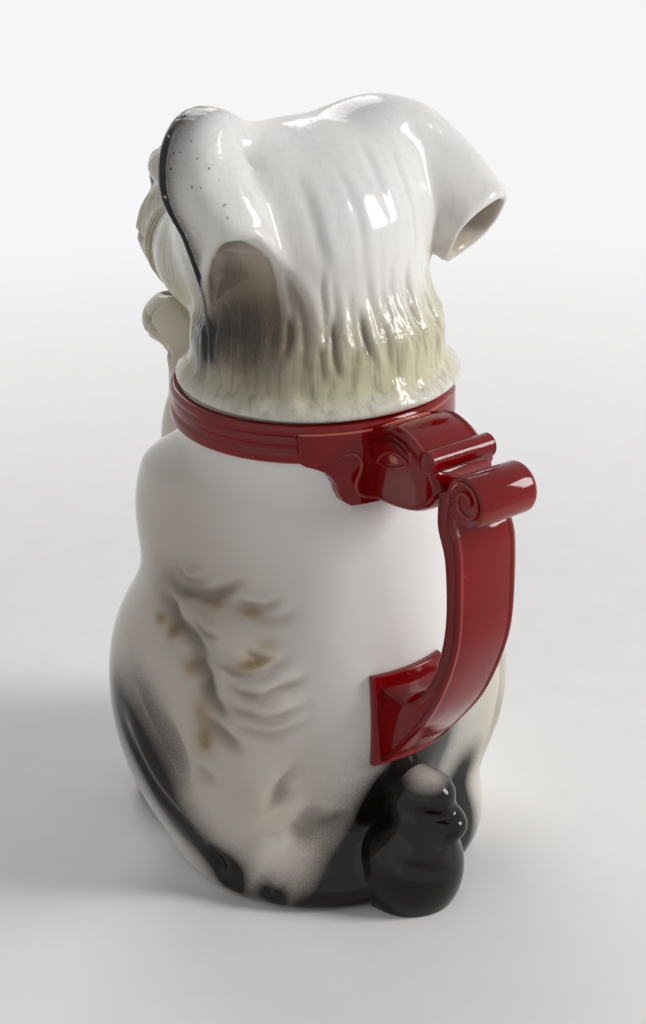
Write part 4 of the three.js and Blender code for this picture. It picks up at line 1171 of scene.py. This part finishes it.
headSpots = [
    (dark, (34, 0, 172), (7, 9, 10), 0.85), (dark, (31, 12, 170), (6, 8, 10), 0.6),
    (dark, (36, -8, 168), (6, 8, 9), 0.8), (dark, (27, 18, 173), (6, 7, 12), 0.4),
    (dark, (31, 9, 184), (9, 10, 10), 0.6),
    (warm, (27, 18, 178), (15, 12, 18), 0.75), (warm, (31, 10, 193), (7, 9, 8), 0.2),
    # painted shade under the left ear and on the left cheek below the brow
    (paintedShade, (28, 16, 178), (11, 12, 13), 0.7), (paintedShade, (22, -45, 196), (16, 26, 22), 0.45),
    (warm, (10, 26, 168), (14, 10, 8), 0.4), (warm, (34, 12, 181), (5, 6, 6), 0.5),
    (warm, (-38, 16, 194), (9, 10, 12), 0.6), (olive, (20, -62, 188), (30, 40, 28), 0.9),
    (olive, (-20, -62, 188), (30, 40, 28), 0.9), (dark, (0, -78, 198), (9, 8, 6.5), 3.5),
    (dark, (13.5, -46, 204), (4.6, 4.2, 4.2), 3), (dark, (-13.5, -46, 204), (4.6, 4.2, 4.2), 3),
    (warm, (18, -44, 207), (14, 12, 8), 0.5), (warm, (-18, -44, 207), (14, 12, 8), 0.5),
    (warm, (0, -62, 178), (20, 24, 8), 0.5),
]
# The black stripe down the left ear with its two creases, the stain in the hollows and the ear's rolled lip
earPaint = {
    "stripe": [(37, -8, 231), (43, -7, 224), (45, -5, 217), (45, -3, 209), (44, 0, 200), (42, 2, 190),
               (39, 4, 180)],
    "width": 8, "reach": 14, "strength": 1.4, "facing": (0.6, 0.15), "creases": (0, 4), "outside": (1.2, 2.4),
    "hollow": (1.6, 0.4), "stain": 0.6,
    "lip": [(37, 1, 184), (39, 4, 189), (40, 8, 196), (40, 13, 202), (39, 17, 205), (36, 19, 206),
            (33, 20, 206), (30, 21, 203), (26, 20, 198), (23, 21, 193)],
}
# Hair down the back and sides, and lumps round the skirt; pairs are the least and most of a random draw
fur = {
    "seed": 11,
    "hairs": {"count": 54, "from": -20, "sweep": 224, "waver": 2, "top": (178, 200), "low": (160, 168),
              "lean": 0.06, "radii": (40, 38), "width": (0.8, 1.3), "depth": (0.25, 0.6), "lift": 0.25,
              "shade": (0.05, 0.35)},
    "lumps": {"count": 60, "waver": 0.05, "radius": (37, 41), "height": (157.5, 163), "size": (1.8, 3.6),
              "relief": (-1.2, 0.8)},
}
# Strokes of the face as width, depth, lift and shade
features = {
    "cheekHairs": 15, "cheekFrom": -36, "cheekStep": 2.7, "cheekStroke": (1.1, 0.8, 0.4, 0.4),
    "browHairs": 5, "browStroke": (0.9, 0.6, 0.4, 0.4),
    "mouthStroke": (0.9, 1.3, 0.2, 0.9),
    "mouth": [(0.5, -80, 190), (6, -76, 185), (12, -66, 183), (15, -54, 184)],
    "lipStroke": (0.7, 0.8, 0, 0.8), "lip": [(0, -82, 195), (0, -81, 191), (0, -80, 187)],
}
headShape = {
    "plugRadii": (40, 34), "plugDepth": 26, "plugAt": 162, "cut": 155.8, "reliefFrom": (155.4, 157.5),
    "oliveFade": (192, 168), "skirtOlive": (156, 163), "oliveShares": (0.85, 0.35),
    "rings": [(39.5, 155.3), (33.4, 155.3), (33.2, 155.6), (33.2, 161.6), (29.6, 161.6), (29.2, 170),
              (28, 185), (25, 198), (20, 207), (12, 213), (4, 215)],
}


def turned(angle, radius, height):
    return (radius * math.cos(angle), radius * math.sin(angle), height)


def drawEars(clay, field, deep):
    paint = earPaint
    rows, far = strokeReach(clay["points"], clay["normals"], bend(paint["stripe"]), paint["reach"])[:2]
    facing = smoothStep(*paint["facing"], clay["normals"][rows, 1])
    clay["paint"][rows, dark] += paint["strength"] * np.exp(-(far / paint["width"]) ** 2) * facing
    for back in paint["creases"]:
        crease(clay, bend([(x, y + back, z) for x, y, z in paint["stripe"]]), 1.0, 0.8, 0.6, 0.7, 0.2, dark)
    clay["paint"][:, dark] *= smoothStep(*paint["outside"], deep)
    clay["relief"] *= smoothStep(*paint["outside"], deep)
    clay["paint"][:, warm] += paint["stain"] * smoothStep(*paint["hollow"], deep)
    drawFolds(clay, field, [(1.3, -0.9, 0, 0, paint["lip"])])


def drawFur(clay, field):
    chance = np.random.default_rng(fur["seed"])
    hairs, lumps = fur["hairs"], fur["lumps"]
    near, away = hairs["radii"]
    for i in range(hairs["count"]):
        waver = chance.uniform(-hairs["waver"], hairs["waver"])
        angle = math.radians(hairs["from"] + hairs["sweep"] * i / hairs["count"] + waver)
        top = chance.uniform(*hairs["top"])
        low = chance.uniform(*hairs["low"])
        lean = chance.uniform(-hairs["lean"], hairs["lean"])
        line = [turned(angle + lean, near, top), turned(angle, away, (top + low) / 2),
                turned(angle - lean, away, low)]
        width = chance.uniform(*hairs["width"])
        depth = chance.uniform(*hairs["depth"])
        drawFolds(clay, field, [(width, depth, hairs["lift"], chance.uniform(*hairs["shade"]), line)])
    for i in range(lumps["count"]):
        angle = 2 * math.pi * i / lumps["count"] + chance.uniform(-lumps["waver"], lumps["waver"])
        at = turned(angle, chance.uniform(*lumps["radius"]), chance.uniform(*lumps["height"]))
        share = np.linalg.norm((clay["points"] - at) / chance.uniform(*lumps["size"]), axis=1)
        clay["relief"] += chance.uniform(*lumps["relief"]) * np.exp(-share ** 2)


def drawFace(clay, field):
    for side in (-1, 1):
        for i in range(features["cheekHairs"]):
            y = features["cheekFrom"] - features["cheekStep"] * i
            sweep = 7 + 4 * math.sin(0.4 * i)
            line = [(side * 11, y, 202), (side * 17, y - 0.3 * sweep, 194), (side * 18, y - 0.7 * sweep, 185),
                    (side * 14, y - sweep, 174)]
            drawFolds(clay, field, [(*features["cheekStroke"], line)])
        for i in range(features["browHairs"]):
            line = [(side * (8 + 3 * i), -44, 214), (side * (9 + 3.2 * i), -50, 210),
                    (side * (9 + 3.4 * i), -51, 205)]
            drawFolds(clay, field, [(*features["browStroke"], line)])
        drawFolds(clay, field, [(*features["mouthStroke"], [(side * x, y, z) for x, y, z in features["mouth"]])])
    drawFolds(clay, field, [(*features["lipStroke"], features["lip"])])


def head():
    shape = headShape
    field, inside, shells = headParts()
    bm = lumpShapes(headClay)
    for shell in shells:
        bm.from_mesh(shell)
    wide, narrow = shape["plugRadii"]
    bmesh.ops.create_cone(bm, cap_ends=True, segments=96, radius1=wide, radius2=narrow,
                          depth=shape["plugDepth"], matrix=Matrix.Translation((0, 0, shape["plugAt"])))
    clay = startClay(oneSkin(bm, headClay["voxel"]), field)
    print("head laid", len(clay["points"]))
    drawEars(clay, field, inside(clay["points"]))
    drawFolds(clay, field, headFolds)
    drawFur(clay, field)
    drawFace(clay, field)
    height = clay["points"][:, 2]
    (low, high), (coatShare, skirtShare) = shape["skirtOlive"], shape["oliveShares"]
    clay["paint"][:, olive] += (coatShare * smoothStep(*shape["oliveFade"], height)
                                * smoothStep(low, high, height))
    clay["paint"][:, olive] += skirtShare * smoothStep(high, low, height)
    tint(clay, headSpots)
    clay["relief"] *= smoothStep(*shape["reliefFrom"], height)
    mesh = closeClay(clay)
    bm = reopen(mesh)
    drawRings(bm, cutFlat(bm, shape["cut"], True), shape["rings"])
    closeUp(bm, mesh)
    finishPiece("terrierHead", mesh, "lid", coatGlaze,
                       ["head_shell", "ear_left", "ear_right"])


def flange():
    bm = bmesh.new()
    profile = [(29.7, 146.3), (31.8, 146.3), (32.9, 147.9), (32.9, 161.3), (29.7, 161.3)]
    spinProfile(bm, roundCorners(profile, 0.5))
    finishPiece("lidFlange", meshOf(bm), "lid", creamGlaze, ["lid_flange"])


torso = torsoField()
spoutShape, legShape, tailShape = clayField(spoutClay), clayField(forelegClay), clayField(tailClay)
pawShapes = {side: pawClay(side) for side in (1, -1)}
potBody([spoutShape, legShape, tailShape, *[clayField(form) for form in pawShapes.values()]])
spoutPaw(torso)
limb("standingLeg", forelegClay, torso, creamGlaze, "standing_foreleg", legFolds, legSpots)
limb("hindPawLeft", pawShapes[1], torso, blackGlaze, "hind_paw_left", pawFolds(1),
     pawSpots["hindPawLeft"])
limb("hindPawRight", pawShapes[-1], torso, creamGlaze, "hind_paw_right", pawFolds(-1),
     pawSpots["hindPawRight"])
limb("tailCurl", tailClay, torso, blackGlaze, "tail", tailFolds, tailSpots)
print("pot and limbs ready")
collar()
bracket(torso)
strap()
roll()
footPlate(torso)
print("collar and handle ready")
head()
flange()
print("lid ready")

# Floor, backdrop and light
studio = {
    "floor": "f8f7f6", "world": 0.26, "camera": 0.92, "fadeFrom": 0.22, "fade": 2.2, "aim": (0, 0, 0.11),
    "floorHalf": 6, "grain": 60, "grainShare": 0.2, "grainTone": "d2d1cf", "roughness": 0.6, "specular": 0.2,
    "lamps": [
        {"at": (-1.15, 1.1, 0.9), "size": (0.45, 0.8), "power": 22},
        {"at": (1.4, 0.5, 1.2), "size": (1.8, 1.8), "power": 3},
        {"at": (-0.5, -1.3, 1.1), "size": (0.9, 0.9), "power": 7},
    ],
}


# The pale backdrop is what the camera, glossy and transmitted rays see
def seenRays(tree):
    rays = addNode(tree, "ShaderNodeLightPath")
    straight = sums(tree, "MAXIMUM", rays.outputs["Is Camera Ray"], rays.outputs["Is Transmission Ray"])
    return sums(tree, "MAXIMUM", straight, rays.outputs["Is Glossy Ray"])


def light():
    world = bpy.data.worlds.new("studio")
    world.use_nodes = True
    scene.world = world
    tree = world.node_tree
    ground = tree.nodes["Background"]
    ground.inputs["Color"].default_value = (1, 1, 1, 1)
    more = sums(tree, "MULTIPLY", seenRays(tree), studio["camera"] - studio["world"])
    strength = sums(tree, "ADD", more, studio["world"])
    tree.links.new(strength, ground.inputs["Strength"])
    for i, lamp in enumerate(studio["lamps"]):
        area = bpy.data.lights.new(f"softbox{i}", "AREA")
        area.shape = "RECTANGLE"
        area.size, area.size_y = lamp["size"]
        area.energy = lamp["power"]
        box = bpy.data.objects.new(area.name, area)
        way = Vector(studio["aim"]) - Vector(lamp["at"])
        box.matrix_world = Matrix.Translation(lamp["at"]) @ way.to_track_quat("-Z", "Y").to_matrix().to_4x4()
        scene.collection.objects.link(box)


def floor():
    bm = bmesh.new()
    bmesh.ops.create_grid(bm, x_segments=1, y_segments=1, size=studio["floorHalf"])
    material, tree, shader = newMaterial("floorPaper")
    place = addNode(tree, "ShaderNodeTexCoord").outputs["Object"]
    grain = sums(tree, "MULTIPLY", noise(tree, place, studio["grain"], 4.0), studio["grainShare"])
    colour = layer(tree, grain, tone(studio["floor"]), tone(studio["grainTone"]))
    tree.links.new(colour, shader.inputs["Base Color"])
    shader.inputs["Roughness"].default_value = studio["roughness"]
    shader.inputs["Specular IOR Level"].default_value = studio["specular"]
    far = addNode(tree, "ShaderNodeVectorMath", operation="LENGTH")
    tree.links.new(place, far.inputs[0])
    beyondObject = sums(tree, "SUBTRACT", far.outputs["Value"], studio["fadeFrom"])
    fade = sums(tree, "MULTIPLY", beyondObject, studio["fade"], True)
    backdrop = addNode(tree, "ShaderNodeEmission")
    backdrop.inputs["Strength"].default_value = studio["camera"]
    mixed = addNode(tree, "ShaderNodeMixShader")
    tree.links.new(sums(tree, "MULTIPLY", fade, seenRays(tree)), mixed.inputs[0])
    tree.links.new(shader.outputs[0], mixed.inputs[1])
    tree.links.new(backdrop.outputs[0], mixed.inputs[2])
    tree.links.new(mixed.outputs[0], tree.nodes["Material Output"].inputs["Surface"])
    mesh = meshOf(bm, "floor")
    mesh.materials.append(material)
    sheet = bpy.data.objects.new("floor", mesh)
    scene.collection.objects.link(sheet)


light()
floor()
scene.view_settings.view_transform = "Standard"
